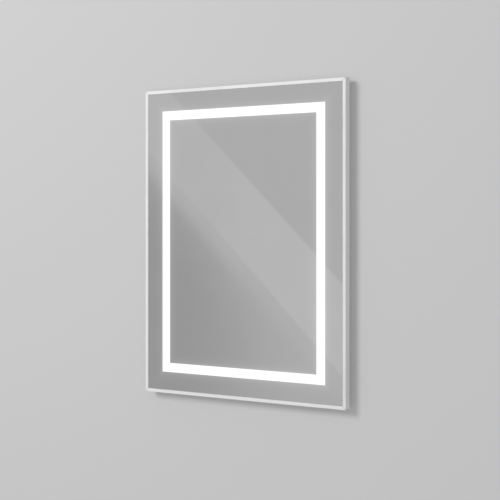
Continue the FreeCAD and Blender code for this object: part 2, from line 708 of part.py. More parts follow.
def light_strip(side, span, place, turn):
    """Circuit strip on the channel's base, with a chip at every pitch."""
    body = new_body(f"led_strip_{side}", place, turn)
    circuit = new_sketch(body, "XZ_Plane", STRIP_FRONT)
    draw_centred(circuit, strip_length(span), "strip_width")
    add_pad(body, circuit, "strip_thickness")
    chip = new_sketch(body, "XZ_Plane", f"{STRIP_FRONT} - chip_height")
    first = f"(chip_pitch - {strip_length(span)}) / 2"
    draw_centred(chip, "chip_length", "chip_width", x=first)
    first_chip = add_pad(body, chip, "chip_height")
    add_row(body, first_chip, "X_Axis", "chip_pitch", f"round({strip_length(span)} / chip_pitch)")


def corner_links():
    """L-shaped flexible circuits that join the strips round the corners of the band."""
    body = new_body("strip_corner_links", moved(MIRROR, y=GLASS_BACK))
    links = new_sketch(body, "XZ_Plane", f"{STRIP_FRONT} - link_thickness")
    for across in (-1, 1):
        for up in (-1, 1):
            x_line = f"({HALF_WIDTH} - {BAND_LINE})"
            z_line = f"({HALF_HEIGHT} - {BAND_LINE})"
            x_end = f"({strip_length('mirror_width')} / 2 - link_overlap)"
            z_end = f"({strip_length('mirror_height')} / 2 - link_overlap)"
            corner = [
                (x_end, f"({z_line} + link_width / 2)"),
                (f"({x_line} + link_width / 2)", f"({z_line} + link_width / 2)"),
                (f"({x_line} + link_width / 2)", z_end),
                (f"({x_line} - link_width / 2)", z_end),
                (f"({x_line} - link_width / 2)", f"({z_line} - link_width / 2)"),
                (x_end, f"({z_line} - link_width / 2)"),
            ]
            draw_polygon(links, [(f"{across} * {x}", f"{up} * {z}") for x, z in corner])
    add_pad(body, links, "link_thickness")


def lighting():
    for side, span, step_x, step_z, turn in LIGHT_SIDES:
        place = moved(MIRROR, step_x, GLASS_BACK, step_z)
        light_channel(side, span, place, turn)
        diffuser(side, span, place, turn)
        light_strip(side, span, place, turn)
    corner_links()


# ---------------------------------------------------------------- back panel


def back_panel():
    """Sheet that closes the back, with two pressed beads and the holes of everything it carries."""
    body = new_body("back_panel", MIRROR)
    sheet = new_sketch(body, "XZ_Plane", PANEL_FRONT)
    less = "2 * (frame_wall + panel_clearance)"
    draw_centred(sheet, f"mirror_width - {less}", f"mirror_height - {less}")
    add_pad(body, sheet, "panel_thickness")

    holes = new_sketch(body, "XZ_Plane", PANEL_FRONT)
    hole_groups = (
        (PANEL_SCREW_PLACES, "panel_screw_radius", "0"),
        (RIVET_PLACES, "rivet_radius", "0"),
        (SPACER_PLACES, "spacer_screw_radius", "0"),
        (COVER_SCREW_PLACES, "cover_screw_radius", "cover_rise"),
        (DRIVER_SCREW_PLACES, "driver_screw_radius", "cover_rise"),
        ([(EARTH_LINE, "stud_rise")], "stud_radius", "cover_rise"),
        ([(LEAD_HOLE_LINE, "driver_rise")], "bush_neck", "cover_rise"),
    )
    for places, radius, rise in hole_groups:
        for x, z in places:
            draw_circle(holes, x, f"{z} + {rise}", f"{radius} + screw_clearance")
    add_pocket(body, holes, "panel_thickness")

    bead_length = "mirror_height - 2 * bead_end_inset"
    for side in (-1, 1):
        crown = new_sketch(body, "XZ_Plane", PANEL_BACK)
        draw_slot(crown, f"{side} * bead_place", "0", bead_length, "bead_width / 2", upright=True)
        add_pad(body, crown, "bead_height")
        hollow = new_sketch(body, "XZ_Plane", PANEL_FRONT)
        hollow_radius = "(bead_width / 2 - panel_thickness)"
        hollow_length = f"{bead_length} - 2 * panel_thickness"
        draw_slot(hollow, f"{side} * bead_place", "0", hollow_length, hollow_radius, upright=True)
        add_pocket(body, hollow, "bead_height")
    dress_edges(body, "Chamfer", "bead_height / 2", y=f"{PANEL_BACK} + bead_height")

    fasteners(
        "panel_screws",
        MIRROR,
        PANEL_SCREW_PLACES,
        [
            (f"{PANEL_FRONT} - panel_screw_reach", PANEL_BACK, "panel_screw_radius"),
            (PANEL_BACK, f"{PANEL_BACK} + panel_screw_rise", "panel_screw_head"),
        ],
    )


# ---------------------------------------------------------------- hanging


def wall_rail():
    """Stepped rail screwed to the wall; its upstand stands off the wall to take the hanger's hook."""
    body = new_body("wall_rail")
    upstand_back = "(hook_wall_gap + hanger_sheet + hook_clearance)"
    upstand_front = f"({upstand_back} + rail_sheet)"
    tip = "(rail_above + rail_hook)"
    section = new_sketch(body, "YZ_Plane")
    draw_polygon(
        section,
        [
            ("0", "-1 * rail_below"),
            ("0", "rail_above"),
            (f"-1 * {upstand_back}", "rail_above"),
            (f"-1 * {upstand_back}", tip),
            (f"-1 * {upstand_front}", tip),
            (f"-1 * {upstand_front}", "rail_above - rail_sheet"),
            ("-1 * rail_sheet", "rail_above - rail_sheet"),
            ("-1 * rail_sheet", "-1 * rail_below"),
        ],
    )
    add_pad(body, section, "rail_length", midplane=True)
    for fold_y, fold_z in (("0", "rail_above"), (f"-1 * {upstand_front}", "rail_above - rail_sheet")):
        dress_edges(body, "Fillet", "bend_round", along="x", y=fold_y, z=fold_z)
    slots = new_sketch(body, "XZ_Plane", "-1 * rail_sheet")
    for side in (-1, 1):
        draw_slot(slots, f"{side} * rail_slot_spacing / 2", "0", "rail_slot_length", "rail_slot_radius")
    add_pocket(body, slots, "rail_sheet")


def hanger_bar():
    """Deep folded bar on the mirror's back; its hook drops between the rail's upstand and the wall."""
    body = new_body("hanger_bar")
    panel_back = f"-1 * {PANEL_TO_WALL}"
    flange_back = f"(hanger_sheet - {PANEL_TO_WALL})"
    hook_back = "-1 * hook_wall_gap"
    hook_front = "-1 * (hook_wall_gap + hanger_sheet)"
    hook_bottom = "(rail_above + hook_bottom_gap)"
    web_bottom = "(rail_above + rail_hook)"
    section = new_sketch(body, "YZ_Plane")
    draw_polygon(
        section,
        [
            (hook_front, hook_bottom),
            (hook_back, hook_bottom),
            (hook_back, HANGER_TOP),
            (panel_back, HANGER_TOP),
            (panel_back, f"{HANGER_TOP} - hanger_flange"),
            (flange_back, f"{HANGER_TOP} - hanger_flange"),
            (flange_back, web_bottom),
            (hook_front, web_bottom),
        ],
    )
    add_pad(body, section, "hanger_length", midplane=True)
    dress_edges(body, "Fillet", "bend_round", along="x", z=HANGER_TOP)
    holes = new_sketch(body, "XZ_Plane", panel_back)
    for x, z in RIVET_PLACES:
        draw_circle(holes, x, f"{z} + {MIRROR[2]}", "rivet_radius + screw_clearance")
    add_pocket(body, holes, "hanger_sheet")

    head_start = f"({PANEL_BACK} + hanger_sheet)"
    fasteners(
        "hanger_rivets",
        MIRROR,
        RIVET_PLACES,
        [
            (f"{PANEL_FRONT} - rivet_bulb_length", PANEL_FRONT, "rivet_bulb"),
            (PANEL_FRONT, head_start, "rivet_radius"),
            (head_start, f"{head_start} + rivet_rise", "rivet_head"),
        ],
        bevel="rivet_bevel",
    )


def wall_spacers():
    """Round spacers that keep the foot of the mirror off the wall, each with a rubber pad."""
    body_length = f"({PANEL_TO_WALL} - pad_thickness + pad_recess)"
    pad_front = f"({PANEL_TO_WALL} - pad_thickness)"
    bore = "(spacer_screw_radius + screw_clearance)"
    for name, (x, z) in zip(("left", "right"), SPACER_PLACES):
        place = moved(MIRROR, x, PANEL_BACK, z)
        body = new_body(f"wall_spacer_{name}", place)
        profile = new_sketch(body, "YZ_Plane")
        draw_polygon(
            profile,
            [
                ("0", bore),
                ("0", "spacer_foot"),
                ("spacer_rim", "spacer_foot"),
                (body_length, "spacer_tip"),
                (body_length, "pad_radius + screw_clearance"),
                (pad_front, "pad_radius + screw_clearance"),
                (pad_front, "0"),
                ("spacer_screw_reach + spacer_bore_gap", "0"),
                ("spacer_screw_reach + spacer_bore_gap", bore),
            ],
        )
        add_revolution(body, profile, "H_Axis")
        pad = new_body(f"spacer_pad_{name}", place)
        disc = new_sketch(pad, "XZ_Plane", pad_front)
        draw_circle(disc, "0", "0", "pad_radius")
        add_pad(pad, disc, "pad_thickness")
    fasteners(
        "spacer_screws",
        MIRROR,
        SPACER_PLACES,
        [
            (f"{PANEL_FRONT} - spacer_screw_rise", PANEL_FRONT, "spacer_screw_head"),
            (PANEL_FRONT, f"{PANEL_BACK} + spacer_screw_reach", "spacer_screw_radius"),
        ],
    )


# ---------------------------------------------------------------- service cover and mains inlet


def service_cover():
    """Folded tray over the driver and terminals, with side flanges, two rows of vents and a cable hole."""
    body = new_body("service_cover", COVER)
    flanges = new_sketch(body, "XZ_Plane")
    draw_centred(flanges, "cover_width + 2 * cover_flange", "cover_flange_height")
    add_pad(body, flanges, "cover_sheet")
    for side in (-1, 1):
        flange_end = f"{side} * (cover_width / 2 + cover_flange)"
        dress_edges(body, "Fillet", "cover_flange_round", along="y", x=flange_end)
    tray = new_sketch(body, "XZ_Plane")
    draw_centred(tray, "cover_width", "cover_height")
    add_pad(body, tray, COVER_DEPTH)
    dress_edges(body, "Fillet", "cover_round", y=COVER_DEPTH)
    inside = new_sketch(body, "XZ_Plane")
    draw_centred(inside, "cover_width - 2 * cover_sheet", "cover_height - 2 * cover_sheet")
    add_pocket(body, inside, f"{COVER_DEPTH} - cover_sheet")

    screw_holes = new_sketch(body, "XZ_Plane")
    for x, z in COVER_SCREW_PLACES:
        draw_circle(screw_holes, x, z, "cover_screw_radius + screw_clearance")
    add_pocket(body, screw_holes, "cover_sheet")

    for side in (-1, 1):
        vent = new_sketch(body, "XZ_Plane", f"{COVER_DEPTH} - cover_sheet")
        first = f"{side} * vent_place - (vent_count - 1) * vent_pitch / 2"
        draw_slot(vent, first, "-1 * vent_drop", "vent_length", "vent_width / 2", upright=True)
        first_vent = add_pocket(body, vent, "cover_sheet")
        add_row(body, first_vent, "X_Axis", "vent_pitch", "vent_count")

    inlet = new_sketch(body, "XY_Plane", "-1 * cover_height / 2")
    draw_circle(inlet, INLET_LINE, INLET_LEVEL, "inlet_neck + grommet_clearance")
    add_pocket(body, inlet, "cover_sheet")

    fasteners(
        "cover_screws",
        COVER,
        COVER_SCREW_PLACES,
        [
            ("-1 * (panel_thickness + cover_screw_reach)", "cover_sheet", "cover_screw_radius"),
            ("cover_sheet", "cover_sheet + cover_screw_rise", "cover_screw_head"),
        ],
    )


def grommet_profile(bore, neck, flange, flange_thickness, sheet):
    """Half section (distance along the axis, radius), with the sheet it grips from 0 to sheet."""
    front = f"-1 * {flange_thickness}"
    back = f"{sheet} + {flange_thickness}"
    return [
        (front, bore),
        (front, flange),
        ("0", flange),
        ("0", neck),
        (sheet, neck),
        (sheet, flange),
        (back, flange),
        (back, bore),
    ]


def cable_grommet():
    """Rubber grommet in the bottom wall of the cover, where the mains cable enters."""
    place = moved(COVER, INLET_LINE, INLET_LEVEL, "-1 * cover_height / 2")
    body = new_body("cable_grommet", place)
    sketch = new_sketch(body, "XZ_Plane")
    profile = grommet_profile(
        "inlet_bore", "inlet_neck", "inlet_flange", "inlet_flange_thickness", "cover_sheet"
    )
    draw_polygon(sketch, [(radius, along) for along, radius in profile])
    add_revolution(body, sketch, "V_Axis")


def lead_bush():
    """Small bush where the pair of LED leads passes the back panel."""
    place = moved(COVER, LEAD_HOLE_LINE, "-1 * panel_thickness", "driver_rise")
    body = new_body("lead_bush", place)
    sketch = new_sketch(body, "YZ_Plane")
    profile = grommet_profile(
        "bush_bore", "bush_neck", "bush_flange", "bush_flange_thickness", "panel_thickness"
    )
    draw_polygon(sketch, profile)
    add_revolution(body, sketch, "H_Axis")


# ---------------------------------------------------------------- driver

DRIVER = moved(COVER, DRIVER_LINE, "0", "driver_rise")
BOARD_FRONT = "(driver_wall + board_standoff)"
BOARD_BACK = f"({BOARD_FRONT} + board_thickness)"


def driver_housing():
    """Open tray with two fixing ears; its floor lies on the panel and its lid faces the cover."""
    body = new_body("driver_housing", DRIVER)
    ears = new_sketch(body, "XZ_Plane")
    draw_centred(ears, "driver_length + 2 * driver_ear", "driver_ear_width")
    add_pad(body, ears, "driver_wall")
    for side in (-1, 1):
        ear_end = f"{side} * (driver_length / 2 + driver_ear)"
        dress_edges(body, "Fillet", "driver_ear_round", along="y", x=ear_end)
    shell = new_sketch(body, "XZ_Plane")
    draw_centred(shell, "driver_length", "driver_width")
    add_pad(body, shell, "driver_height")
    for side in (-1, 1):
        dress_edges(body, "Fillet", "driver_round", along="y", z=f"{side} * driver_width / 2")
    inside = new_sketch(body, "XZ_Plane", "driver_wall")
    draw_centred(inside, "driver_length - 2 * driver_wall", "driver_width - 2 * driver_wall")
    add_pocket(body, inside, "driver_height - driver_wall")

    screw_holes = new_sketch(body, "XZ_Plane")
    for side in (-1, 1):
        x = f"{side} * {DRIVER_SCREW_LINE}"
        draw_circle(screw_holes, x, "0", "driver_screw_radius + screw_clearance")
    add_pocket(body, screw_holes, "driver_wall")

    for side in (-1, 1):
        start = "driver_length / 2 - driver_wall" if side > 0 else "-1 * driver_length / 2"
        ways = new_sketch(body, "YZ_Plane", start)
        for lead in (-1, 1):
            z = f"{lead} * lead_spacing / 2"
            draw_circle(ways, "lead_rise", z, "lead_radius + lead_hole_clearance")
        add_pocket(body, ways, "driver_wall")

    fasteners(
        "driver_screws",
        COVER,
        DRIVER_SCREW_PLACES,
        [
            ("-1 * (panel_thickness + cover_screw_reach)", "driver_wall", "driver_screw_radius"),
            ("driver_wall", "driver_wall + driver_screw_rise", "driver_screw_head"),
        ],
    )


def driver_lid():
    body = new_body("driver_lid", DRIVER)
    plate = new_sketch(body, "XZ_Plane", "driver_height - lid_thickness")
    less = "2 * (driver_wall + lid_clearance)"
    draw_centred(plate, f"driver_length - {less}", f"driver_width - {less}")
    add_pad(body, plate, "lid_thickness")


def driver_board():
    """Circuit board on its standoffs, with transformer, switching device, capacitors and choke."""
    body = new_body("driver_board", DRIVER)
    less = "2 * (driver_wall + board_clearance)"
    length = f"(driver_length - {less})"
    width = f"(driver_width - {less})"
    board = new_sketch(body, "XZ_Plane", BOARD_FRONT)
    draw_centred(board, length, width)
    add_pad(body, board, "board_thickness")
    standoffs = new_sketch(body, "XZ_Plane", "driver_wall")
    for across in (-1, 1):
        for up in (-1, 1):
            x = f"{across} * ({length} / 2 - standoff_inset)"
            z = f"{up} * ({width} / 2 - standoff_edge)"
            draw_circle(standoffs, x, z, "standoff_radius")
    add_pad(body, standoffs, "board_standoff")

    headroom = f"(driver_height - lid_thickness - {BOARD_BACK})"
    blocks = new_sketch(body, "XZ_Plane", BOARD_BACK)
    draw_centred(blocks, "transformer_length", "transformer_width")
    draw_centred(blocks, "switch_length", "switch_width", x="switch_place")
    add_pad(body, blocks, f"{headroom} - block_lid_gap")
    cans = new_sketch(body, "XZ_Plane", BOARD_BACK)
    draw_circle(cans, f"{length} / 2 - choke_inset", "can_offset", "choke_radius")
    for sign in (-1, 1):
        draw_circle(cans, f"capacitor_inset - {length} / 2", f"{sign} * can_offset", "capacitor_radius")
    add_pad(body, cans, f"{headroom} - can_lid_gap")


# ---------------------------------------------------------------- terminals and earth

TERMINAL = moved(COVER, INLET_LINE, "0", "-1 * terminal_drop")
HEXAGON_TURNS = range(30, 390, 60)


def terminal_block():
    """Three-pole block: live, neutral and earth, open to wires at the top and the bottom."""
    body = new_body("terminal_block", TERMINAL)
    block = new_sketch(body, "XZ_Plane")
    draw_centred(block, "3 * terminal_pitch", "terminal_height")
    add_pad(body, block, "terminal_depth")
    dress_edges(body, "Chamfer", "terminal_bevel", y="terminal_depth")

    grooves = new_sketch(body, "XZ_Plane", "terminal_depth / 2")
    for side in (-1, 1):
        draw_centred(grooves, "terminal_groove", "terminal_height", x=f"{side} * terminal_pitch / 2")
    add_pocket(body, grooves, "terminal_depth / 2")

    for side in (-1, 1):
        start = "terminal_height / 2 - terminal_entry_depth" if side > 0 else "-1 * terminal_height / 2"
        entries = new_sketch(body, "XY_Plane", start)
        for x in TERMINAL_POLES:
            draw_circle(entries, x, "lead_rise", "terminal_entry")
        add_pocket(body, entries, "terminal_entry_depth")

    well_floor = "(terminal_depth - terminal_well_depth)"
    wells = new_sketch(body, "XZ_Plane", well_floor)
    screw_places = [(x, f"{side} * terminal_height / 4") for x in TERMINAL_POLES for side in (-1, 1)]
    for x, z in screw_places:
        draw_circle(wells, x, z, "terminal_well")
    add_pocket(body, wells, "terminal_well_depth")
    fasteners(
        "terminal_screws",
        TERMINAL,
        screw_places,
        [(well_floor, f"{well_floor} + terminal_screw_height", "terminal_screw_radius")],
    )


def earth_point():
    """Stud through the panel, the lead's ring lug on it and the nut that clamps the lug."""
    place = moved(COVER, EARTH_LINE, "0", "stud_rise")
    fasteners(
        "earth_stud",
        place,
        [("0", "0")],
        [
            ("-1 * (panel_thickness + lug_thickness)", "-1 * panel_thickness", "2 * stud_radius"),
            ("-1 * panel_thickness", "stud_length", "stud_radius"),
        ],
    )
    lug = new_body("earth_lug", place)
    eye = new_sketch(lug, "XZ_Plane")
    draw_circle(eye, "0", "0", "lug_radius")
    add_pad(lug, eye, "lug_thickness")
    barrel_radius = "(lead_radius + lug_thickness)"
    tail = new_sketch(lug, "XZ_Plane")
    draw_rectangle(tail, (f"-1 * {barrel_radius}", "-1 * lug_tail"), (barrel_radius, "0"))
    add_pad(lug, tail, "lug_thickness")
    barrel = new_sketch(lug, "XY_Plane", "-1 * lug_tail")
    draw_circle(barrel, "0", barrel_radius, barrel_radius)
    add_pad(lug, barrel, "lug_tail - lug_radius")
    hollow = new_sketch(lug, "XY_Plane", "-1 * lug_tail")
    draw_circle(hollow, "0", barrel_radius, "lead_radius + lug_clearance")
    add_pocket(lug, hollow, "lug_tail - lug_radius")
    hole = new_sketch(lug, "XZ_Plane")
    draw_circle(hole, "0", "0", "stud_radius + screw_clearance")
    add_pocket(lug, hole, "lug_thickness")

    nut = new_body("earth_nut", place)
    hexagon = new_sketch(nut, "XZ_Plane", "lug_thickness")
    corner = f"nut_flats / (2 * cos({HEXAGON_TURNS[0]}))"
    corners = [(f"{corner} * cos({turn})", f"{corner} * sin({turn})") for turn in HEXAGON_TURNS]
    draw_polygon(hexagon, corners)
    add_pad(nut, hexagon, "nut_height")
    bore = new_sketch(nut, "XZ_Plane", "lug_thickness")
    draw_circle(bore, "0", "0", "stud_radius + screw_clearance / 2")
    add_pocket(nut, bore, "nut_height")


# ---------------------------------------------------------------- leads


def lead(label, origin, points):
    """A round lead along straight runs joined by tangent arcs; the route starts from an origin."""
    start = Vector(*[measure(text) for text in origin])
    route = [Vector(*[measure(text) for text in point]) for point in points]
    bend = measure("lead_bend")
    edges = []
    reached = route[0]
    for before, corner, after in zip(route, route[1:], route[2:]):
        back = (before - corner).normalize()
        ahead = (after - corner).normalize()
        half_turn = (math.pi - back.getAngle(ahead)) / 2
        tangent = bend * math.tan(half_turn)
        middle = corner + (back + ahead).normalize() * bend * (1 / math.cos(half_turn) - 1)
        edges.append(Part.LineSegment(reached, corner + back * tangent).toShape())
        edges.append(Part.Arc(corner + back * tangent, middle, corner + ahead * tangent).toShape())
        reached = corner + ahead * tangent
    edges.append(Part.LineSegment(reached, route[-1]).toShape())
    path = Part.Wire(edges)
    circle = Part.Circle(route[0], route[1] - route[0], measure("lead_radius"))
    solid = path.makePipeShell([Part.Wire([circle.toShape()])], True, False)
    item = document.addObject("Part::Feature", label)
    item.Label = label
    item.Shape = solid
    item.Placement = FreeCAD.Placement(start, FreeCAD.Rotation())
    nodes.append(item)
    print(f"{label}: {path.Length:.0f} mm, bends of {bend:.1f} mm")


def leads():
    """Mains leads from the terminals to the driver and the earth stud; LED leads to the left strip."""
    driver_right = f"({DRIVER_END} + driver_length - lead_insertion)"
    entry = "(terminal_height / 2 - terminal_drop - lead_insertion)"
    mains = (("mains_lead_live", TERMINAL_POLES[0], -1), ("mains_lead_neutral", TERMINAL_POLES[1], 1))
    for label, pole, sign in mains:
        x = f"({INLET_LINE} + {pole})"
        z = f"(driver_rise + {sign} * lead_spacing / 2)"
        lead(label, COVER, [(x, "lead_rise", entry), (x, "lead_rise", z), (driver_right, "lead_rise", z)])
    lug_level = "(lug_thickness + lead_radius)"
    lead(
        "earth_lead",
        COVER,
        [
            (EARTH_LINE, "lead_rise", entry),
            (EARTH_LINE, "lead_rise", "earth_slope_start"),
            (EARTH_LINE, lug_level, "earth_slope_start + earth_slope_height"),
            (EARTH_LINE, lug_level, "stud_rise - lug_radius - screw_clearance"),
        ],
    )
    driver_left = f"({DRIVER_END} + lead_insertion)"
    level = f"({LED_LEAD_LEVEL} + {GLASS_BACK} - {PANEL_BACK})"
    strip_x = f"({BAND_LINE} - {HALF_WIDTH} + pad_offset)"
    for label, sign in (("led_lead_minus", -1), ("led_lead_plus", 1)):
        z = f"(driver_rise + {sign} * lead_spacing / 2)"
        lead(
            label,
            COVER,
            [
                (driver_left, "lead_rise", z),
                (LEAD_HOLE_LINE, "lead_rise", z),
                (LEAD_HOLE_LINE, level, z),
                (strip_x, level, z),
            ],
        )


def lead_clips():
    """Two stuck-on clips that hold the pair of LED leads between the panel and the glass."""
    level = f"({PANEL_BACK} - {LED_LEAD_LEVEL} - {GLASS_BACK} - panel_thickness)"
    body = new_body("lead_clips", moved(COVER, y="-1 * panel_thickness", z="driver_rise"))
    height = f"({level} + 2 * lead_radius)"
    blocks = new_sketch(body, "XZ_Plane", f"-1 * {height}")
    channel_wall_line = f"({BAND_LINE} + channel_width / 2 - {HALF_WIDTH})"
    clip_lines = [f"({LEAD_HOLE_LINE} * {3 - turn} + {channel_wall_line} * {turn}) / 3" for turn in (1, 2)]
    for x in clip_lines:
        draw_centred(blocks, "clip_length", "clip_width", x=x)
    add_pad(body, blocks, height)
    for x in clip_lines:
        ways = new_sketch(body, "YZ_Plane", f"{x} - clip_length / 2")
        for sign in (-1, 1):
            z = f"{sign} * lead_spacing / 2"
            draw_circle(ways, f"-1 * {level}", z, "lead_radius + screw_clearance")
        add_pocket(body, ways, "clip_length")


# ---------------------------------------------------------------- all pieces

wall_rail()
frame()
corner_keys()
glazing()
mirror_glass()
lighting()
back_panel()
hanger_bar()
wall_spacers()
service_cover()
cable_grommet()
lead_bush()
driver_housing()
driver_lid()
driver_board()
terminal_block()
earth_point()
leads()
lead_clips()
document.recompute()

for item in document.Objects:
    if "Invalid" in item.State or "Error" in item.State:
        raise RuntimeError(f"{item.Name} did not build: {item.State}")
for node in nodes:
    if node.Shape.isNull() or not node.Shape.isValid():
        raise RuntimeError(f"{node.Label} has no valid shape")

os.makedirs("parts", exist_ok=True)
for node in nodes:
    node.Shape.exportStep(f"parts/{node.Label}.step")
print(f"{len(nodes)} pieces")
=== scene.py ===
from math import radians

import bmesh
import bpy
from mathutils import Matrix, Vector


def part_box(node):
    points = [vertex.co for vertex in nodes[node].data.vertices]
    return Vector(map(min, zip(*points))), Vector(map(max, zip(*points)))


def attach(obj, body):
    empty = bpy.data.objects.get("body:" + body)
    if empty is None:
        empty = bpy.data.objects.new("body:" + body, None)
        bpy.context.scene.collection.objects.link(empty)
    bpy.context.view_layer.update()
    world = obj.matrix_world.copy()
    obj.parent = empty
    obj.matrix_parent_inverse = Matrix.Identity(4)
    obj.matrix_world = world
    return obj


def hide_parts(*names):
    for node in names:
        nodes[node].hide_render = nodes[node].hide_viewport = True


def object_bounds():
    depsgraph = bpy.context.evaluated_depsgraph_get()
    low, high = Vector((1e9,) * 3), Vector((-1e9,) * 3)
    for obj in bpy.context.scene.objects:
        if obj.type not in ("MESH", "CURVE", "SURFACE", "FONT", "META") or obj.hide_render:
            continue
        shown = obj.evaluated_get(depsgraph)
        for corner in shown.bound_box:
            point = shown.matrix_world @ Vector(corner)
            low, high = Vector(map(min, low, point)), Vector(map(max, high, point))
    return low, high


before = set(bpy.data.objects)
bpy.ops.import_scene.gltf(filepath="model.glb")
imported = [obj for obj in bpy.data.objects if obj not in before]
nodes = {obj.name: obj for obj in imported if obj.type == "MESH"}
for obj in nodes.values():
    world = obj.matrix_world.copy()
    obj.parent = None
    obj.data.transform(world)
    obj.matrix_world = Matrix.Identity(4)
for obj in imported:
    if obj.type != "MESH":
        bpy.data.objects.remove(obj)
cad_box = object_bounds()
scene = bpy.context.scene
MM = 0.001


# ---------------------------------------------------------------- studio
# The mirror hangs on a plain pale wall above a plain pale floor. One large soft lamp stands in front,
# above the camera and to its left, a weaker one behind lights the back, and the camera is level, off to
# the right.

CAMERA_PLACE = (1.5833, -2.5181, -0.2531)
CAMERA_TURN = radians(32.03)
CAMERA_LENS = 83.56
CAMERA_SHIFT = (-0.0005, -0.0599)
WALL_COLOUR = (0.60, 0.60, 0.60)
WALL_GAP = 0.6 * MM
FLOOR_COLOUR = (0.66, 0.66, 0.66)
FLOOR_LEVEL = -1.30
STAGE_REACH = 12.0
LAMPS = (
    # name, place, size in metres, power in watts
    ("lamp_front", (-1.9, -4.8, 1.9), 1.9, 137),
    ("lamp_back", (-1.8, 3.2, 1.8), 3.4, 66),
)


def add_node(tree, kind, inputs=None, **settings):
    """One shader node: settings are its own properties, inputs are numbers or other nodes' outputs."""
    node = tree.nodes.new(kind)
    for name, value in settings.items():
        setattr(node, name, value)
    for socket, value in (inputs or {}).items():
        if isinstance(value, bpy.types.NodeSocket):
            tree.links.new(value, node.inputs[socket])
        else:
            node.inputs[socket].default_value = value
    return node


def work_out(tree, operation, *values):
    """Arithmetic on numbers or outputs."""
    return add_node(tree, "ShaderNodeMath", dict(enumerate(values)), operation=operation).outputs[0]


def parts_of(tree, vector):
    """A vector's X, Y and Z."""
    return add_node(tree, "ShaderNodeSeparateXYZ", {0: vector}).outputs


def smooth_step(tree, value, start, end, low=0.0, high=1.0):
    """Passes smoothly from low to high as the value goes from start to end."""
    inputs = {"Value": value, "From Min": start, "From Max": end, "To Min": low, "To Max": high}
    return add_node(tree, "ShaderNodeMapRange", inputs, interpolation_type="SMOOTHSTEP").outputs["Result"]


def smooth_fall(tree, value, start, end):
    """1 up to the start, 0 past the end."""
    return smooth_step(tree, value, start, end, low=1.0, high=0.0)


def blend_colours(tree, share, first, second):
    """The first colour where the share is 0 and the second where it is 1."""
    # A Mix node takes numbers at its inputs 2 and 3, and colours at 6 and 7.
    mix = add_node(tree, "ShaderNodeMix", data_type="RGBA")
    for socket, value in ((mix.inputs[0], share), (mix.inputs[6], first), (mix.inputs[7], second)):
        if isinstance(value, bpy.types.NodeSocket):
            tree.links.new(value, socket)
        elif isinstance(value, tuple):
            socket.default_value = (*value, 1.0)
        else:
            socket.default_value = value
    return mix.outputs[2]


def new_material(name):
    """An empty material, its node tree and its shader."""
    material = bpy.data.materials.new(name)
    material.use_nodes = True
    return material, material.node_tree, material.node_tree.nodes["Principled BSDF"]


camera = bpy.data.objects.new("camera", bpy.data.cameras.new("camera"))
camera.location = CAMERA_PLACE
camera.rotation_euler = (radians(90), 0, CAMERA_TURN)
camera.data.lens = CAMERA_LENS
camera.data.shift_x, camera.data.shift_y = CAMERA_SHIFT
scene.collection.objects.link(camera)
scene.camera = camera
scene.view_settings.view_transform = "Standard"


def stage_plane(name, place, turn, colour, one_sided):
    """A large plane for the object's shadow. Only the camera sees it; if one_sided, only from its front."""
    sheet = bmesh.new()
    bmesh.ops.create_grid(sheet, x_segments=1, y_segments=1, size=STAGE_REACH)
    bmesh.ops.rotate(sheet, cent=(0, 0, 0), matrix=Matrix.Rotation(turn, 3, "X"), verts=sheet.verts)
    bmesh.ops.translate(sheet, vec=place, verts=sheet.verts)
    mesh = bpy.data.meshes.new(name)
    sheet.to_mesh(mesh)
    sheet.free()
    plane = bpy.data.objects.new(name, mesh)
    scene.collection.objects.link(plane)
    material, tree, shader = new_material(name)
    shader.inputs["Base Color"].default_value = (*colour, 1.0)
    shader.inputs["Roughness"].default_value = 1.0
    shader.inputs["Specular IOR Level"].default_value = 0.0
    if one_sided:
        back = add_node(tree, "ShaderNodeNewGeometry").outputs["Backfacing"]
        clear = add_node(tree, "ShaderNodeBsdfTransparent").outputs[0]
        seen = add_node(tree, "ShaderNodeMixShader", {0: back, 1: shader.outputs[0], 2: clear})
        tree.links.new(seen.outputs[0], tree.nodes["Material Output"].inputs["Surface"])
    mesh.materials.append(material)
    for kind in ("diffuse", "glossy", "transmission", "shadow"):
        setattr(plane, f"visible_{kind}", False)


stage_plane("wall", (0, WALL_GAP, 0), radians(90), WALL_COLOUR, one_sided=True)
stage_plane("floor", (0, 0, FLOOR_LEVEL), 0, FLOOR_COLOUR, one_sided=False)

lamp_target = Vector((0, 0, cad_box[0].z / 2))
for lamp_name, lamp_place, lamp_size, lamp_power in LAMPS:
    lamp = bpy.data.objects.new(lamp_name, bpy.data.lights.new(lamp_name, "AREA"))
    lamp.data.size = lamp_size
    lamp.data.energy = lamp_power
    lamp.location = lamp_place
    lamp.rotation_euler = (lamp_target - lamp.location).to_track_quat("-Z", "Y").to_euler()
    scene.collection.objects.link(lamp)

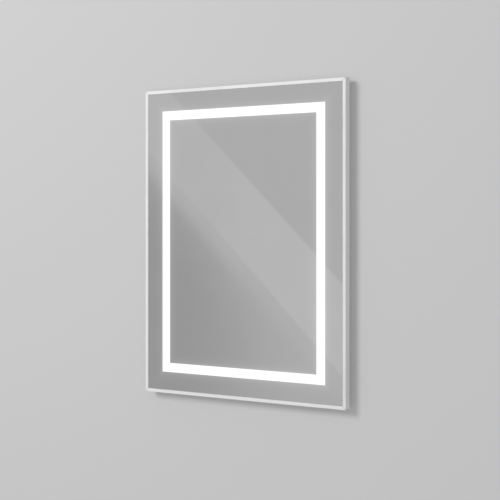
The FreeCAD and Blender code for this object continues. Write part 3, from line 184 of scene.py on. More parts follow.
# What glass and metal reflect: the room in front, mid grey, crossed by a pale diagonal beam of light that
# comes again, turned over, to both sides. Below the beam the room darkens, more so to the left. The room
# behind the mirror is plain. Places in it are given by the way that a ray takes: so far across, and so
# far up, for each metre ahead. A pair of tones runs from the left to the right, between a pair of sides.
BACKGROUND = (0.62, 0.62, 0.62)
AMBIENT = (0.60, 0.60, 0.60)
ROOM_TONE = 0.588
BEHIND_TONE = 0.47
BEAM_TONES = (0.640, 0.668)
BEAM_SIDES = (-0.685, -0.600)
BEAM_SLOPE = 0.9615
BEAM_TOP = -0.5626
BEAM_BOTTOM = -0.6516
BEAM_EDGE = 0.003
BEAM_REPEAT = (-0.92, -0.32)
BELOW_TONE = 0.612
LOW_TONES = (0.440, 0.567)
LOW_SIDES = (-0.725, -0.560)
LOW_FADE = (
    # diagonal, share of the tone just below the beam
    (-0.7527, 0.0),
    (-0.7149, 0.11),
    (-0.6947, 0.20),
    (-0.6839, 0.34),
    (-0.6746, 0.58),
    (-0.6702, 0.74),
    (-0.6609, 0.93),
    (BEAM_BOTTOM, 1.0),
)
# A curve reads from 0 upwards, so the diagonals are shifted into its reach.
CURVE_SHIFT = 1.0
# Rays that go nearly sideways count as going this far ahead, and the room in front passes to the room
# behind over this much to either side of sideways.
LEAST_AHEAD = 0.05
SIDEWAYS = 0.10


def blend_tones(tree, share, first, second):
    """The first tone where the share is 0 and the second where it is 1."""
    return add_node(tree, "ShaderNodeMix", {0: share, 2: first, 3: second}).outputs[0]


world = bpy.data.worlds.new("studio")
world.use_nodes = True
scene.world = world
room = world.node_tree
way = parts_of(room, add_node(room, "ShaderNodeTexCoord").outputs["Generated"])
ahead = work_out(room, "MAXIMUM", work_out(room, "MULTIPLY", way["Y"], -1.0), LEAST_AHEAD)
across = work_out(room, "DIVIDE", way["X"], ahead)
up = work_out(room, "DIVIDE", way["Z"], ahead)
open_diagonal = work_out(room, "MULTIPLY_ADD", across, BEAM_SLOPE, up)
past_start = work_out(room, "SUBTRACT", open_diagonal, BEAM_REPEAT[0])
there_and_back = work_out(room, "PINGPONG", past_start, BEAM_REPEAT[1] - BEAM_REPEAT[0])
diagonal = work_out(room, "ADD", there_and_back, BEAM_REPEAT[0])

below_beam_top = smooth_fall(room, diagonal, BEAM_TOP - BEAM_EDGE, BEAM_TOP + BEAM_EDGE)
below_beam = smooth_fall(room, diagonal, BEAM_BOTTOM - BEAM_EDGE, BEAM_BOTTOM + BEAM_EDGE)
beam_tone = smooth_step(room, across, *BEAM_SIDES, *BEAM_TONES)
low_fade = add_node(room, "ShaderNodeFloatCurve", {"Value": work_out(room, "ADD", diagonal, CURVE_SHIFT)})
for stop, stop_share in LOW_FADE:
    low_fade.mapping.curves[0].points.new(stop + CURVE_SHIFT, stop_share)
deep_tone = smooth_step(room, across, *LOW_SIDES, *LOW_TONES)
low_tone = blend_tones(room, low_fade.outputs[0], deep_tone, BELOW_TONE)
high_tone = blend_tones(room, below_beam_top, ROOM_TONE, beam_tone)
front_tone = blend_tones(room, below_beam, high_tone, low_tone)
in_front = smooth_fall(room, way["Y"], -SIDEWAYS, SIDEWAYS)
room_tone = blend_tones(room, in_front, BEHIND_TONE, front_tone)

rays = add_node(room, "ShaderNodeLightPath").outputs
sky = blend_colours(room, rays["Is Glossy Ray"], AMBIENT, room_tone)
sky = blend_colours(room, rays["Is Camera Ray"], sky, BACKGROUND)
room.links.new(sky, room.nodes["Background"].inputs["Color"])


# ---------------------------------------------------------------- frame
# Four lengths of one aluminium extrusion, mitred at the corners and satin anodised in pale silver.
# Faint die lines run along each length, and each mitre shows as a fine closed joint.

MIRROR_MIDDLE = (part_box("frame_stile_left")[0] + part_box("frame_stile_right")[1]) / 2
HALF_WIDTH = (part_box("frame_stile_right")[1].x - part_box("frame_stile_left")[0].x) / 2
HALF_HEIGHT = (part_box("frame_rail_top")[1].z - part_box("frame_rail_bottom")[0].z) / 2
FRAME_DARK = (0.82, 0.82, 0.82)
FRAME_LIGHT = (0.92, 0.92, 0.92)
FRAME_ROUGHNESS = (0.80, 0.88)
MITRE_WIDTH = 0.5 * MM
MITRE_SHADE = 0.30
# How often drawn lines and wiping marks change in a metre: seldom along them, often across them.
ALONG_X = (9, 1100, 1100)
ALONG_Z = (1100, 1100, 9)
WIPED_UPRIGHT = (60, 60, 12)
TONE_RANGE = (0.25, 0.75)
HANDLING_SHARE = 0.5
COAT_ROUGHNESS = 0.25


def new_pattern(name):
    """A surface pattern shared by several finishes: a Vector goes in, a Tone and a Height come out."""
    pattern = bpy.data.node_groups.new(name, "ShaderNodeTree")
    pattern.interface.new_socket("Vector", in_out="INPUT", socket_type="NodeSocketVector")
    pattern.interface.new_socket("Tone", in_out="OUTPUT", socket_type="NodeSocketFloat")
    pattern.interface.new_socket("Height", in_out="OUTPUT", socket_type="NodeSocketFloat")
    inside = pattern.nodes.new("NodeGroupInput").outputs["Vector"]
    outside = pattern.nodes.new("NodeGroupOutput").inputs
    return pattern, inside, outside


def end_pattern(pattern, out, tone, height):
    """Links a pattern's two outputs."""
    pattern.links.new(tone, out["Tone"])
    pattern.links.new(height, out["Height"])
    return pattern


def noise(tree, vector, scale, detail=2.0):
    """Clouds that come about this many times in a unit of the vector."""
    inputs = {"Vector": vector, "Scale": scale, "Detail": detail}
    return add_node(tree, "ShaderNodeTexNoise", inputs).outputs[0]


def cells(tree, vector, scale=1.0, randomness=1.0):
    """Cells about this many to a unit of the vector: their Distance from the middle and their own Color."""
    inputs = {"Vector": vector, "Scale": scale, "Randomness": randomness}
    return add_node(tree, "ShaderNodeTexVoronoi", inputs).outputs


def stretched(tree, vector, scale):
    """The vector times the scale, so that a pattern comes that many times as often."""
    return add_node(tree, "ShaderNodeMapping", {"Vector": vector, "Scale": scale}).outputs[0]


def weigh(tree, first, share, second):
    """The mean of two values, with this share of the first."""
    return work_out(tree, "MULTIPLY_ADD", first, share, work_out(tree, "MULTIPLY", second, 1.0 - share))


def make_drawn_lines():
    """Fine lines of an extruded or drawn surface; the vector is stretched along them beforehand."""
    pattern, vector, out = new_pattern("drawn_lines")
    fine = noise(pattern, vector, scale=1.0, detail=3.0)
    broad = noise(pattern, vector, scale=0.22, detail=1.0)
    return end_pattern(pattern, out, tone=weigh(pattern, fine, 0.5, broad), height=fine)


def make_handling():
    """Broad, faint cloudiness left by handling and wiping."""
    pattern, vector, out = new_pattern("handling")
    cloud = noise(pattern, vector, scale=14.0, detail=3.0)
    wiped = noise(pattern, stretched(pattern, vector, WIPED_UPRIGHT), scale=1.0)
    return end_pattern(pattern, out, tone=smooth_step(pattern, cloud, start=0.3, end=0.7), height=wiped)


drawn_lines = make_drawn_lines()
handling = make_handling()


def object_place(tree):
    """The place on the piece, in metres in the frame that all pieces share."""
    return add_node(tree, "ShaderNodeTexCoord").outputs["Object"]


def place_pattern(tree, pattern, vector):
    """A pattern's outputs, read at the vector."""
    figure = add_node(tree, "ShaderNodeGroup", node_tree=pattern)
    tree.links.new(vector, figure.inputs["Vector"])
    return figure.outputs


def make_finish(name, pattern, stretch, dark, light, roughness, relief, metallic=0.0, coat=0.0):
    """A finish whose pattern, read in object space, sets its colour and roughness and a relief in mm."""
    material, tree, shader = new_material(name)
    place = object_place(tree)
    figure = place_pattern(tree, pattern, stretched(tree, place, stretch))
    marks = place_pattern(tree, handling, place)
    tone = smooth_step(tree, figure["Tone"], *TONE_RANGE)
    cloudy = weigh(tree, marks["Tone"], HANDLING_SHARE, tone)
    bump = add_node(tree, "ShaderNodeBump", {"Height": figure["Height"], "Distance": relief * MM})
    tree.links.new(blend_colours(tree, tone, dark, light), shader.inputs["Base Color"])
    tree.links.new(smooth_step(tree, cloudy, 0.0, 1.0, *roughness), shader.inputs["Roughness"])
    tree.links.new(bump.outputs[0], shader.inputs["Normal"])
    shader.inputs["Metallic"].default_value = metallic
    shader.inputs["Coat Weight"].default_value = coat
    shader.inputs["Coat Roughness"].default_value = COAT_ROUGHNESS
    return material


def paint_over(finish, share, colour):
    """Lays a colour over a finish where the share is 1."""
    tree = finish.node_tree
    base = tree.nodes["Principled BSDF"].inputs["Base Color"]
    tree.links.new(blend_colours(tree, share, base.links[0].from_socket, colour), base)


def dress(finish, *names):
    """Gives CAD pieces a finish."""
    for name in names:
        slots = nodes[name].data.materials
        slots.clear()
        slots.append(finish)


def from_middle(tree):
    """Distances from the mirror's middle: to either side, back, and up or down, in metres."""
    inputs = {"Vector": object_place(tree), "Location": -MIRROR_MIDDLE}
    parts = parts_of(tree, add_node(tree, "ShaderNodeMapping", inputs).outputs[0])
    return work_out(tree, "ABSOLUTE", parts["X"]), parts["Y"], work_out(tree, "ABSOLUTE", parts["Z"])


def make_frame_finish(name, stretch):
    """Satin anodised metal with die lines and a fine dark joint along the mitres."""
    finish = make_finish(
        name,
        drawn_lines,
        stretch=stretch,
        dark=FRAME_DARK,
        light=FRAME_LIGHT,
        roughness=FRAME_ROUGHNESS,
        relief=0.01,
        metallic=1.0,
    )
    tree = finish.node_tree
    side, _, height = from_middle(tree)
    skew = work_out(tree, "SUBTRACT", side, height)
    off_mitre = work_out(tree, "ABSOLUTE", work_out(tree, "ADD", skew, HALF_HEIGHT - HALF_WIDTH))
    joint = smooth_fall(tree, off_mitre, MITRE_WIDTH / 2, MITRE_WIDTH)
    paint_over(finish, joint, tuple(part * MITRE_SHADE for part in FRAME_DARK))
    return finish


dress(make_frame_finish("satin_anodised_rail", ALONG_X), "frame_rail_top", "frame_rail_bottom")
dress(make_frame_finish("satin_anodised_stile", ALONG_Z), "frame_stile_left", "frame_stile_right")


# ---------------------------------------------------------------- corner keys
# Die-cast zinc angles pushed into the key chambers of two lengths at every corner. Two zinc-plated grub
# screws in each clamp them from the rear.


def make_cast_grain():
    """The slightly pitted, frosted skin of a casting or of a moulding from an eroded tool."""
    pattern, vector, out = new_pattern("cast_grain")
    grain = noise(pattern, vector, scale=1.0, detail=4.0)
    patches = noise(pattern, vector, scale=0.05)
    pits = smooth_step(pattern, cells(pattern, vector, scale=0.7)["Distance"], start=0.0, end=0.3)
    pitted = work_out(pattern, "ADD", grain, pits)
    return end_pattern(pattern, out, tone=weigh(pattern, grain, 0.45, patches), height=pitted)


cast_grain = make_cast_grain()
DIE_CAST = make_finish(
    "die_cast_zinc",
    cast_grain,
    stretch=(900, 900, 900),
    dark=(0.50, 0.51, 0.52),
    light=(0.62, 0.63, 0.64),
    roughness=(0.45, 0.62),
    relief=0.02,
    metallic=1.0,
)
BRIGHT_ZINC = make_finish(
    "bright_zinc_plate",
    cast_grain,
    stretch=(500, 500, 500),
    dark=(0.62, 0.64, 0.67),
    light=(0.78, 0.78, 0.76),
    roughness=(0.22, 0.38),
    relief=0.004,
    metallic=1.0,
)
for vertical in ("top", "bottom"):
    for horizontal in ("left", "right"):
        dress(DIE_CAST, f"corner_key_{vertical}_{horizontal}")
dress(BRIGHT_ZINC, "corner_key_screws")


# ---------------------------------------------------------------- mirror glass
# One 4 mm sheet of float glass, silvered and painted on the rear. The silver is taken off and the glass
# etched matt in a band round the sheet, which the light behind it turns plain white. Beside the band the
# silver carries a faint painted glow, a painted halo that fades outwards and stands in for glare.

SILVER = (0.70, 0.70, 0.70)
WIPED_SILVER = tuple(part * 0.985 for part in SILVER)
BAND_INSET = 56 * MM
BAND_WIDTH = 24 * MM
BAND_EDGE = 0.4 * MM
BAND_GLOW = (0.78, 0.78, 0.78)
BAND_GLASS = (0.30, 0.30, 0.30)
# The halo is painted glow: the band's light painted onto the silver beside it, fading over this reach, for
# glare.
PAINTED_HALO_REACH = 8 * MM
PAINTED_HALO_STRENGTH = 0.10
BACKING_PAINT = (0.28, 0.31, 0.34)
GLASS_EDGE = (0.35, 0.50, 0.45)
FRONT_SKIN = (0.1 * MM, 0.3 * MM)
BACK_SKIN = (0.3 * MM, 0.05 * MM)
MATT_ROUGHNESS = 0.45
BLACK = (0.0, 0.0, 0.0)


def light_up(material, glow):
    """Gives a material a little light of its own, a colour or an output, too weak to light anything else."""
    shader = material.node_tree.nodes["Principled BSDF"]
    if isinstance(glow, tuple):
        shader.inputs["Emission Color"].default_value = (*glow, 1.0)
    else:
        material.node_tree.links.new(glow, shader.inputs["Emission Color"])
    shader.inputs["Emission Strength"].default_value = 1.0
    material.cycles.emission_sampling = "NONE"
    return material


def make_mirror_glass():
    """Silver and band on the front with a painted glow beside the band, paint on the rear, green glass at
    the edge.
    """
    material, tree, shader = new_material("silvered_glass")
    front, back = (corner.y - MIRROR_MIDDLE.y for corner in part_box("mirror_glass"))
    side, depth, height = from_middle(tree)
    from_side = work_out(tree, "SUBTRACT", HALF_WIDTH, side)
    from_end = work_out(tree, "SUBTRACT", HALF_HEIGHT, height)
    inset = work_out(tree, "MINIMUM", from_side, from_end)
    off_band = work_out(tree, "ABSOLUTE", work_out(tree, "SUBTRACT", inset, BAND_INSET + BAND_WIDTH / 2))
    past_band = work_out(tree, "SUBTRACT", off_band, BAND_WIDTH / 2)
    band = smooth_fall(tree, past_band, -BAND_EDGE / 2, BAND_EDGE / 2)
    beside_band = work_out(tree, "MAXIMUM", past_band, 0.0)
    # Painted glow: emission on the silver beside the band, weaker with distance from it, standing in for
    # glare.
    painted_halo_fade = work_out(tree, "EXPONENT", work_out(tree, "DIVIDE", beside_band, -PAINTED_HALO_REACH))
    painted_halo = blend_colours(tree, work_out(tree, "MULTIPLY", painted_halo_fade, PAINTED_HALO_STRENGTH), BLACK, BAND_GLOW)
    glow = blend_colours(tree, band, painted_halo, BAND_GLOW)
    sheet_front = smooth_fall(tree, depth, front + FRONT_SKIN[0], front + FRONT_SKIN[1])
    sheet_back = smooth_step(tree, depth, back - BACK_SKIN[0], back - BACK_SKIN[1])
    wiped = place_pattern(tree, handling, object_place(tree))["Tone"]
    face = blend_colours(tree, band, blend_colours(tree, wiped, SILVER, WIPED_SILVER), BAND_GLASS)
    behind = blend_colours(tree, sheet_back, GLASS_EDGE, BACKING_PAINT)
    silvered = work_out(tree, "MULTIPLY", sheet_front, work_out(tree, "SUBTRACT", 1.0, band))
    tree.links.new(blend_colours(tree, sheet_front, behind, face), shader.inputs["Base Color"])
    tree.links.new(silvered, shader.inputs["Metallic"])
    tree.links.new(smooth_step(tree, silvered, 0.0, 1.0, MATT_ROUGHNESS, 0.0), shader.inputs["Roughness"])
    return light_up(material, blend_colours(tree, sheet_front, BLACK, glow))


dress(make_mirror_glass(), "mirror_glass")


# ---------------------------------------------------------------- glazing tape and gasket
# A black foam tape, sticky on both faces, bonds the glass to the ledge inside the frame. A pale silicone
# gasket fills the gap round the glass's edge, so that no dark line shows between glass and frame.


def make_foam_cells():
    """Closed cells of a soft foam or the skin of a rubber moulding."""
    pattern, vector, out = new_pattern("foam_cells")
    walls = cells(pattern, vector)["Distance"]
    cloud = noise(pattern, vector, scale=0.12)
    return end_pattern(pattern, out, tone=weigh(pattern, walls, 0.3, cloud), height=walls)


foam_cells = make_foam_cells()
FOAM = make_finish(
    "foam_tape",
    foam_cells,
    stretch=(1800, 1800, 1800),
    dark=(0.045, 0.045, 0.045),
    light=(0.085, 0.085, 0.085),
    roughness=(0.8, 0.95),
    relief=0.08,
)
RUBBER = make_finish(
    "black_rubber",
    foam_cells,
    stretch=(1400, 1400, 1400),
    dark=(0.030, 0.030, 0.031),
    light=(0.060, 0.060, 0.060),
    roughness=(0.55, 0.75),
    relief=0.02,
)
SILICONE = make_finish(
    "pale_silicone",
    foam_cells,
    stretch=(1400, 1400, 1400),
    dark=(0.60, 0.60, 0.59),
    light=(0.68, 0.68, 0.67),
    roughness=(0.5, 0.7),
    relief=0.02,
)
dress(FOAM, "glazing_tape")
dress(SILICONE, "glazing_gasket")


# ---------------------------------------------------------------- lighting
# Behind the band runs a rectangle of U-shaped aluminium channels with strips of light-emitting chips on
# their base and an opal diffuser in their mouth. Flexible links join the strips round the corners.

CHIP_YELLOW = (0.85, 0.72, 0.30)
CHIP_GLOW = (0.9, 0.9, 0.85)
CHIP_SIDE = (0.1 * MM, 0.5 * MM)
DIFFUSER_GLOW = (0.55, 0.55, 0.54)


def make_mill_finish(name, stretch):
    """Plain extruded aluminium, not anodised."""
    return make_finish(
        name,
        drawn_lines,
        stretch=stretch,
        dark=(0.66, 0.67, 0.68),
        light=(0.80, 0.81, 0.82),
        roughness=(0.28, 0.45),
        relief=0.01,
        metallic=1.0,
    )


def make_strip_finish():
    """White circuit with the chips, which stand off it towards the glass, in phosphor yellow."""
    finish = make_finish(
        "light_strip",
        cast_grain,
        stretch=(700, 700, 700),
        dark=(0.80, 0.80, 0.78),
        light=(0.86, 0.86, 0.84),
        roughness=(0.35, 0.5),
        relief=0.005,
    )
    tree = finish.node_tree
    depth = parts_of(tree, object_place(tree))["Y"]
    chip_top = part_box("led_strip_top")[0].y
    chip = smooth_fall(tree, depth, chip_top + CHIP_SIDE[0], chip_top + CHIP_SIDE[1])
    paint_over(finish, chip, CHIP_YELLOW)
    return light_up(finish, blend_colours(tree, chip, BLACK, CHIP_GLOW))


MILL_X = make_mill_finish("mill_aluminium_x", ALONG_X)
MILL_Z = make_mill_finish("mill_aluminium_z", ALONG_Z)
OPAL = make_finish(
    "opal_diffuser",
    cast_grain,
    stretch=(300, 300, 300),
    dark=(0.84, 0.84, 0.83),
    light=(0.90, 0.90, 0.90),
    roughness=(0.35, 0.5),
    relief=0.005,
)
light_up(OPAL, DIFFUSER_GLOW)
LIGHT_STRIP = make_strip_finish()
for side, channel_finish in (("top", MILL_X), ("right", MILL_Z), ("bottom", MILL_X), ("left", MILL_Z)):
    dress(channel_finish, f"led_channel_{side}")
    dress(OPAL, f"diffuser_{side}")
    dress(LIGHT_STRIP, f"led_strip_{side}")
dress(LIGHT_STRIP, "strip_corner_links")


# ---------------------------------------------------------------- back panel
# A sheet of hot-dip zinc-coated steel with two pressed stiffening beads. It drops into the frame's rear
# rebate and is held all round by pan-head self-tapping screws.


def make_spangle():
    """The frost-like crystals of a hot-dip zinc coating, each turned its own way."""
    pattern, vector, out = new_pattern("spangle")
    warp = noise(pattern, vector, scale=1.4, detail=3.0)
    bent = add_node(pattern, "ShaderNodeVectorMath", {0: vector, 1: warp}, operation="ADD").outputs[0]
    crystals = add_node(pattern, "ShaderNodeSeparateColor", {0: cells(pattern, bent)["Color"]})
    frost = noise(pattern, vector, scale=9.0, detail=4.0)
    return end_pattern(pattern, out, tone=weigh(pattern, crystals.outputs["Red"], 0.65, frost), height=frost)


ZINC_SHEET = make_finish(
    "zinc_coated_sheet",
    make_spangle(),
    stretch=(420, 420, 420),
    dark=(0.59, 0.60, 0.61),
    light=(0.65, 0.66, 0.67),
    roughness=(0.38, 0.50),
    relief=0.006,
    metallic=1.0,
)
dress(ZINC_SHEET, "back_panel")

SCREW_HEAD = 2.8 * MM
SCREW_RISE = 1.1 * MM
SCREW_SHANK = 1.5 * MM
SCREW_REACH = 4.0 * MM
PANEL_SCREW_INSET = 100 * MM
TURN_BETWEEN = radians(37)
TURNED_STEPS = 28
# Edges that turn by more than this stay crisp.
TURNED_SHARP = radians(35)
MERGE_REACH = 0.001 * MM
# A recess is a share of the head's radius long and wide and a share of its height deep, and narrows to
# the given shares of its length and width at its floor.
RECESS_LENGTH = 1.05
RECESS_WIDTH = 0.24
RECESS_DEPTH = 0.8
RECESS_TAPER = (0.45, 1, 0.6)


def turned(profile, steps=TURNED_STEPS):
    """A round part spun about the front-to-back axis from (radius, height) points, the end ones on it."""
    part = bmesh.new()
    points = [part.verts.new((radius, height, 0)) for radius, height in profile]
    lines = [part.edges.new(pair) for pair in zip(points, points[1:])]
    bmesh.ops.spin(
        part,
        geom=points + lines,
        cent=(0, 0, 0),
        axis=(0, 1, 0),
        angle=radians(360),
        steps=steps,
        use_merge=True,
    )
    bmesh.ops.remove_doubles(part, verts=part.verts, dist=MERGE_REACH)
    bmesh.ops.recalc_face_normals(part, faces=part.faces)
    return part


def as_mesh(name, part, sharp=TURNED_SHARP):
    """A part as a mesh, smooth save at edges sharper than this."""
    mesh = bpy.data.meshes.new(name)
    part.to_mesh(mesh)
    part.free()
    mesh.shade_smooth()
    mesh.set_sharp_from_angle(angle=sharp)
    return mesh


def cut_away(mesh, cutters):
    """The mesh with the cutters' shapes taken out of it."""
    blank = bpy.data.objects.new("blank", mesh)
    scene.collection.objects.link(blank)
    tools = []
    for cutter in cutters:
        tool = bpy.data.objects.new("tool", as_mesh("tool", cutter))
        scene.collection.objects.link(tool)
        cut = blank.modifiers.new("cut", "BOOLEAN")
        cut.object = tool
        cut.solver = "EXACT"
        tools.append(tool)
    evaluated = blank.evaluated_get(bpy.context.evaluated_depsgraph_get())
    shaped = bpy.data.meshes.new_from_object(evaluated)
    for spare in (blank, *tools):
        bpy.data.objects.remove(spare)
    shaped.set_sharp_from_angle(angle=TURNED_SHARP)
    return shaped


def recess_wing(head, height, turn=0.0):
    """A tapered bar that reaches down into a screw's head: one of them cuts a slot, two cut a cross."""
    wing = bmesh.new()
    bmesh.ops.create_cube(wing, size=1.0)
    size = (head * RECESS_LENGTH, height * RECESS_DEPTH * 2, head * RECESS_WIDTH)
    bmesh.ops.scale(wing, vec=size, verts=wing.verts)
    floor = [corner for corner in wing.verts if corner.co.y < 0]
    bmesh.ops.scale(wing, vec=RECESS_TAPER, verts=floor)
    bmesh.ops.translate(wing, vec=(0, height, 0), verts=wing.verts)
    bmesh.ops.rotate(wing, cent=(0, 0, 0), matrix=Matrix.Rotation(turn, 3, "Y"), verts=wing.verts)
    return wing


def pan_head_screw(head, height, shank, reach):
    """A pan head with a cross recess on a plain shank; its seat is at zero, its top towards the rear."""
    profile = [
        (0, height),
        (head * 0.62, height),
        (head * 0.82, height * 0.93),
        (head * 0.94, height * 0.74),
        (head, height * 0.45),
        (head, 0),
        (shank, 0),
        (shank, -reach + shank),
        (0, -reach),
    ]
    cross = [recess_wing(head, height, turn) for turn in (0.0, radians(90))]
    return cut_away(as_mesh("screw", turned(profile)), cross)


def set_out(node, shape, places, finish):
    """Copies of a shape as one piece that stands for a CAD node, each turned a little on from the last."""
    name = f"{node}_detailed"
    group = bmesh.new()
    for number, place in enumerate(places):
        earlier = len(group.verts)
        group.from_mesh(shape)
        group.verts.ensure_lookup_table()
        turn = Matrix.Rotation(number * TURN_BETWEEN, 4, "Y")
        bmesh.ops.transform(group, matrix=Matrix.Translation(place) @ turn, verts=group.verts[earlier:])
    mesh = bpy.data.meshes.new(name)
    group.to_mesh(mesh)
    group.free()
    mesh.materials.clear()
    mesh.materials.append(finish)
    piece = bpy.data.objects.new(name, mesh)
    scene.collection.objects.link(piece)
    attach(piece, "mirror")
    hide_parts(node)


panel_screw_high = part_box("panel_screws")[1]
panel_seat = panel_screw_high.y - SCREW_RISE
side_line = panel_screw_high.x - SCREW_HEAD
end_line = panel_screw_high.z - SCREW_HEAD - MIRROR_MIDDLE.z
row_x = HALF_WIDTH - PANEL_SCREW_INSET
row_z = HALF_HEIGHT - PANEL_SCREW_INSET
end_places = [(x, end * end_line) for end in (-1, 1) for x in (-row_x, 0, row_x)]
side_places = [(end * side_line, z) for end in (-1, 1) for z in (-row_z, 0, row_z)]
set_out(
    "panel_screws",
    pan_head_screw(SCREW_HEAD, SCREW_RISE, SCREW_SHANK, SCREW_REACH),
    [Vector((x, panel_seat, MIRROR_MIDDLE.z + z)) for x, z in end_places + side_places],
    BRIGHT_ZINC,
)


# ---------------------------------------------------------------- hanging
# A folded zinc-coated bar is riveted to the panel, and its hook drops behind the upstand of an extruded
# rail that two screws hold on the wall. Blind rivets keep their broken-off stem in the middle.

RIVETS = 4
RIVET_HEAD = 4.0 * MM
RIVET_RISE = 1.3 * MM
RIVET_STEM = 1.1 * MM
RIVET_SHANK = 1.9 * MM
RIVET_REACH = 5.0 * MM
RIVET_STEPS = 36
RIVET_SHARP = radians(50)

dress(ZINC_SHEET, "hanger_bar")
dress(MILL_X, "wall_rail")
rivet_profile = [
    (0, RIVET_RISE * 0.62),
    (RIVET_STEM * 0.75, RIVET_RISE * 0.60),
    (RIVET_STEM * 0.80, RIVET_RISE * 0.35),
    (RIVET_STEM, RIVET_RISE * 0.35),
    (RIVET_STEM * 1.02, RIVET_RISE * 0.96),
    (RIVET_STEM * 1.25, RIVET_RISE),
    (RIVET_HEAD * 0.50, RIVET_RISE * 0.97),
    (RIVET_HEAD * 0.72, RIVET_RISE * 0.80),
    (RIVET_HEAD * 0.90, RIVET_RISE * 0.50),
    (RIVET_HEAD, RIVET_RISE * 0.12),
    (RIVET_HEAD, 0),
    (RIVET_SHANK, 0),
    (RIVET_SHANK, -RIVET_REACH),
    (0, -RIVET_REACH),
]
rivet_low, rivet_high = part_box("hanger_rivets")
rivet_seat = rivet_high.y - RIVET_RISE
rivet_level = (rivet_low.z + rivet_high.z) / 2
rivet_half = rivet_high.x - RIVET_HEAD
rivet_lines = [rivet_half * (2 * index / (RIVETS - 1) - 1) for index in range(RIVETS)]
set_out(
    "hanger_rivets",
    as_mesh("rivet", turned(rivet_profile, RIVET_STEPS), RIVET_SHARP),
    [Vector((x, rivet_seat, rivet_level)) for x in rivet_lines],
    MILL_X,
)


# ---------------------------------------------------------------- wall spacers
# Two moulded grey spacers near the foot, each screwed on from inside the panel, with a black rubber pad
# let into its tip.

SPACER_SCREW_HEAD = 3.8 * MM
SPACER_SCREW_RISE = 1.6 * MM
SPACER_SCREW_SHANK = 2.0 * MM

GREY_MOULDED = make_finish(
    "grey_moulded",
    cast_grain,
    stretch=(1300, 1300, 1300),
    dark=(0.36, 0.37, 0.38),
    light=(0.44, 0.45, 0.46),
    roughness=(0.42, 0.58),
    relief=0.02,
)
dress(GREY_MOULDED, "wall_spacer_left", "wall_spacer_right")
dress(RUBBER, "spacer_pad_left", "spacer_pad_right")


def two_in_a_row(box, head, seat):
    """Places at the left and right end of a node's box, halfway up it, for heads of this radius."""
    low, high = box
    return [Vector((x, seat, (low.z + high.z) / 2)) for x in (low.x + head, high.x - head)]


spacer_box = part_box("spacer_screws")
spacer_seat = spacer_box[0].y + SPACER_SCREW_RISE
spacer_reach = spacer_box[1].y - spacer_seat
spacer_screw = pan_head_screw(SPACER_SCREW_HEAD, SPACER_SCREW_RISE, SPACER_SCREW_SHANK, spacer_reach)
spacer_screw.transform(Matrix.Rotation(radians(180), 4, "X"))
set_out(
    "spacer_screws",
    spacer_screw,
    two_in_a_row(spacer_box, SPACER_SCREW_HEAD, spacer_seat),
    BRIGHT_ZINC,
)


# ---------------------------------------------------------------- driver and terminals
# Under the cover sit the driver in its moulded housing, held by two screws, a three-pole terminal block
# with slotted clamping screws, the brass earth stud with its ring lug, and the short leads between them.

WHITE_MOULDED = make_finish(
    "white_moulded",
    cast_grain,
    stretch=(1300, 1300, 1300),
    dark=(0.78, 0.78, 0.76),
    light=(0.86, 0.86, 0.84),
    roughness=(0.38, 0.55),
    relief=0.015,
)
BRASS = make_finish(
    "turned_brass",
    drawn_lines,
    stretch=(300, 1500, 300),
    dark=(0.62, 0.46, 0.18),
    light=(0.78, 0.62, 0.30),
    roughness=(0.25, 0.4),
    relief=0.01,
    metallic=1.0,
)
BOARD_TOP = 2.4 * MM
DARK_RESIN = (0.04, 0.042, 0.046)
WINDING_TAPE = (0.62, 0.47, 0.10)
COPPER_WIRE = (0.42, 0.17, 0.07)
TRANSFORMER_HALF = 10.6 * MM
CHOKE_PLACE = 40 * MM
COLOUR_CHANGE = 0.2 * MM


def make_copper_tracks():
    """Rows of tracks and round pads on a circuit board, under the solder mask."""
    pattern, vector, out = new_pattern("copper_tracks")
    upright = {"Vector": vector, "Rotation": (radians(90), 0, 0)}
    flat = add_node(pattern, "ShaderNodeMapping", upright).outputs[0]
    rows = {"Vector": flat, "Scale": 1.0, "Mortar Size": 0.06}
    tracks = add_node(pattern, "ShaderNodeTexBrick", rows).outputs[1]
    spots = cells(pattern, flat, scale=1.6, randomness=0.5)["Distance"]
    pads = smooth_fall(pattern, spots, start=0.16, end=0.20)
    return end_pattern(pattern, out, tone=work_out(pattern, "MAXIMUM", tracks, pads), height=tracks)


def make_board_finish():
    """Green board with dark parts on it, save the taped transformer and the choke wound in copper."""
    finish = make_finish(
        "circuit_board",
        make_copper_tracks(),
        stretch=(75, 75, 75),
        dark=(0.015, 0.11, 0.05),
        light=(0.07, 0.30, 0.13),
        roughness=(0.25, 0.4),
        relief=0.03,
        coat=0.4,
    )
    tree = finish.node_tree
    low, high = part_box("driver_board")
    place = parts_of(tree, object_place(tree))
    along = work_out(tree, "SUBTRACT", place["X"], (low.x + high.x) / 2)
    off_middle = work_out(tree, "ABSOLUTE", along)
    taped = smooth_fall(tree, off_middle, TRANSFORMER_HALF, TRANSFORMER_HALF + COLOUR_CHANGE)
    wound = smooth_step(tree, along, CHOKE_PLACE, CHOKE_PLACE + COLOUR_CHANGE)
    device = blend_colours(tree, taped, blend_colours(tree, wound, DARK_RESIN, COPPER_WIRE), WINDING_TAPE)
    top = low.y + BOARD_TOP
    paint_over(finish, smooth_step(tree, place["Y"], top, top + COLOUR_CHANGE / 2), device)
    return finish


dress(WHITE_MOULDED, "driver_housing", "driver_lid", "lead_clips", "terminal_block")
dress(make_board_finish(), "driver_board")
dress(BRASS, "earth_stud", "earth_nut", "earth_lug")
dress(RUBBER, "lead_bush")

DRIVER_SCREW_RISE = 1.5 * MM
driver_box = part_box("driver_screws")
driver_seat = driver_box[1].y - DRIVER_SCREW_RISE
driver_reach = driver_seat - driver_box[0].y
set_out(
    "driver_screws",
    pan_head_screw(SCREW_HEAD, DRIVER_SCREW_RISE, SCREW_SHANK, driver_reach),
    two_in_a_row(driver_box, SCREW_HEAD, driver_seat),
    BRIGHT_ZINC,
)

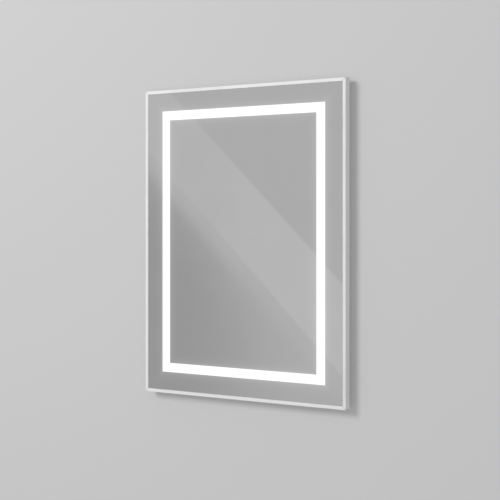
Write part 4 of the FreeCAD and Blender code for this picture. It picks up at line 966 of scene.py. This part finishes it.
POLES = 3
CLAMP_RADIUS = 1.4 * MM
CLAMP_CHAMFER = 0.2 * MM
clamp_low, clamp_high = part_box("terminal_screws")
clamp_height = clamp_high.y - clamp_low.y
clamp_pitch = (clamp_high.x - clamp_low.x - 2 * CLAMP_RADIUS) / (POLES - 1)
clamp_profile = [
    (0, clamp_height),
    (CLAMP_RADIUS - CLAMP_CHAMFER, clamp_height),
    (CLAMP_RADIUS, clamp_height - CLAMP_CHAMFER),
    (CLAMP_RADIUS, 0),
    (0, 0),
]
clamp_slot = recess_wing(CLAMP_RADIUS, clamp_height)
set_out(
    "terminal_screws",
    cut_away(as_mesh("clamping_screw", turned(clamp_profile)), [clamp_slot]),
    [
        Vector((clamp_low.x + CLAMP_RADIUS + pole * clamp_pitch, clamp_low.y, z))
        for pole in range(POLES)
        for z in (clamp_low.z + CLAMP_RADIUS, clamp_high.z - CLAMP_RADIUS)
    ],
    BRIGHT_ZINC,
)

LEAD_COLOURS = (
    ("mains_lead_live", (0.22, 0.10, 0.05)),
    ("mains_lead_neutral", (0.05, 0.15, 0.45)),
    ("earth_lead", (0.12, 0.40, 0.08)),
    ("led_lead_plus", (0.50, 0.03, 0.03)),
    ("led_lead_minus", (0.03, 0.03, 0.03)),
)
LEAD_PALER = 1.25
LEAD_BLOOM = 0.01
EARTH_YELLOW = (0.75, 0.62, 0.05)
EARTH_TWIST = 1700
EARTH_SLANT = 2.0
EARTH_STRIPE = (0.1, 0.4)


def add_earth_stripes(finish):
    """Slanted yellow stripes on the green of the earth lead."""
    tree = finish.node_tree
    place = parts_of(tree, object_place(tree))
    slant = work_out(tree, "MULTIPLY_ADD", place["X"], EARTH_SLANT, place["Z"])
    twist = work_out(tree, "SINE", work_out(tree, "MULTIPLY", slant, EARTH_TWIST))
    paint_over(finish, smooth_step(tree, twist, *EARTH_STRIPE), EARTH_YELLOW)


for lead_name, lead_colour in LEAD_COLOURS:
    lead_finish = make_finish(
        lead_name,
        cast_grain,
        stretch=(900, 900, 900),
        dark=lead_colour,
        light=tuple(part * LEAD_PALER + LEAD_BLOOM for part in lead_colour),
        roughness=(0.35, 0.5),
        relief=0.01,
    )
    if lead_name == "earth_lead":
        add_earth_stripes(lead_finish)
    dress(lead_finish, lead_name)


# ---------------------------------------------------------------- service cover
# A folded steel tray in white powder coat, screwed to the panel by its side flanges. Two groups of vents
# are punched in it, and a rubber grommet in its bottom wall lines the cable inlet.


def make_orange_peel():
    """The soft dimples and slight cloudiness of a powder coat."""
    pattern, vector, out = new_pattern("orange_peel")
    dimples = noise(pattern, vector, scale=1.0, detail=1.0)
    cloud = noise(pattern, vector, scale=0.03)
    return end_pattern(pattern, out, tone=weigh(pattern, dimples, 0.4, cloud), height=dimples)


POWDER_COAT = make_finish(
    "white_powder_coat",
    make_orange_peel(),
    stretch=(420, 420, 420),
    dark=(0.74, 0.74, 0.73),
    light=(0.82, 0.82, 0.81),
    roughness=(0.38, 0.5),
    relief=0.05,
)
dress(POWDER_COAT, "service_cover")
dress(RUBBER, "cable_grommet")

COVER_SCREW_RISE = 1.5 * MM
COVER_SCREW_REACH = 3.0 * MM
cover_low, cover_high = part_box("cover_screws")
cover_seat = cover_high.y - COVER_SCREW_RISE
set_out(
    "cover_screws",
    pan_head_screw(SCREW_HEAD, COVER_SCREW_RISE, SCREW_SHANK, COVER_SCREW_REACH),
    [
        Vector((x, cover_seat, z))
        for x in (cover_low.x + SCREW_HEAD, cover_high.x - SCREW_HEAD)
        for z in (cover_low.z + SCREW_HEAD, cover_high.z - SCREW_HEAD)
    ],
    BRIGHT_ZINC,
)
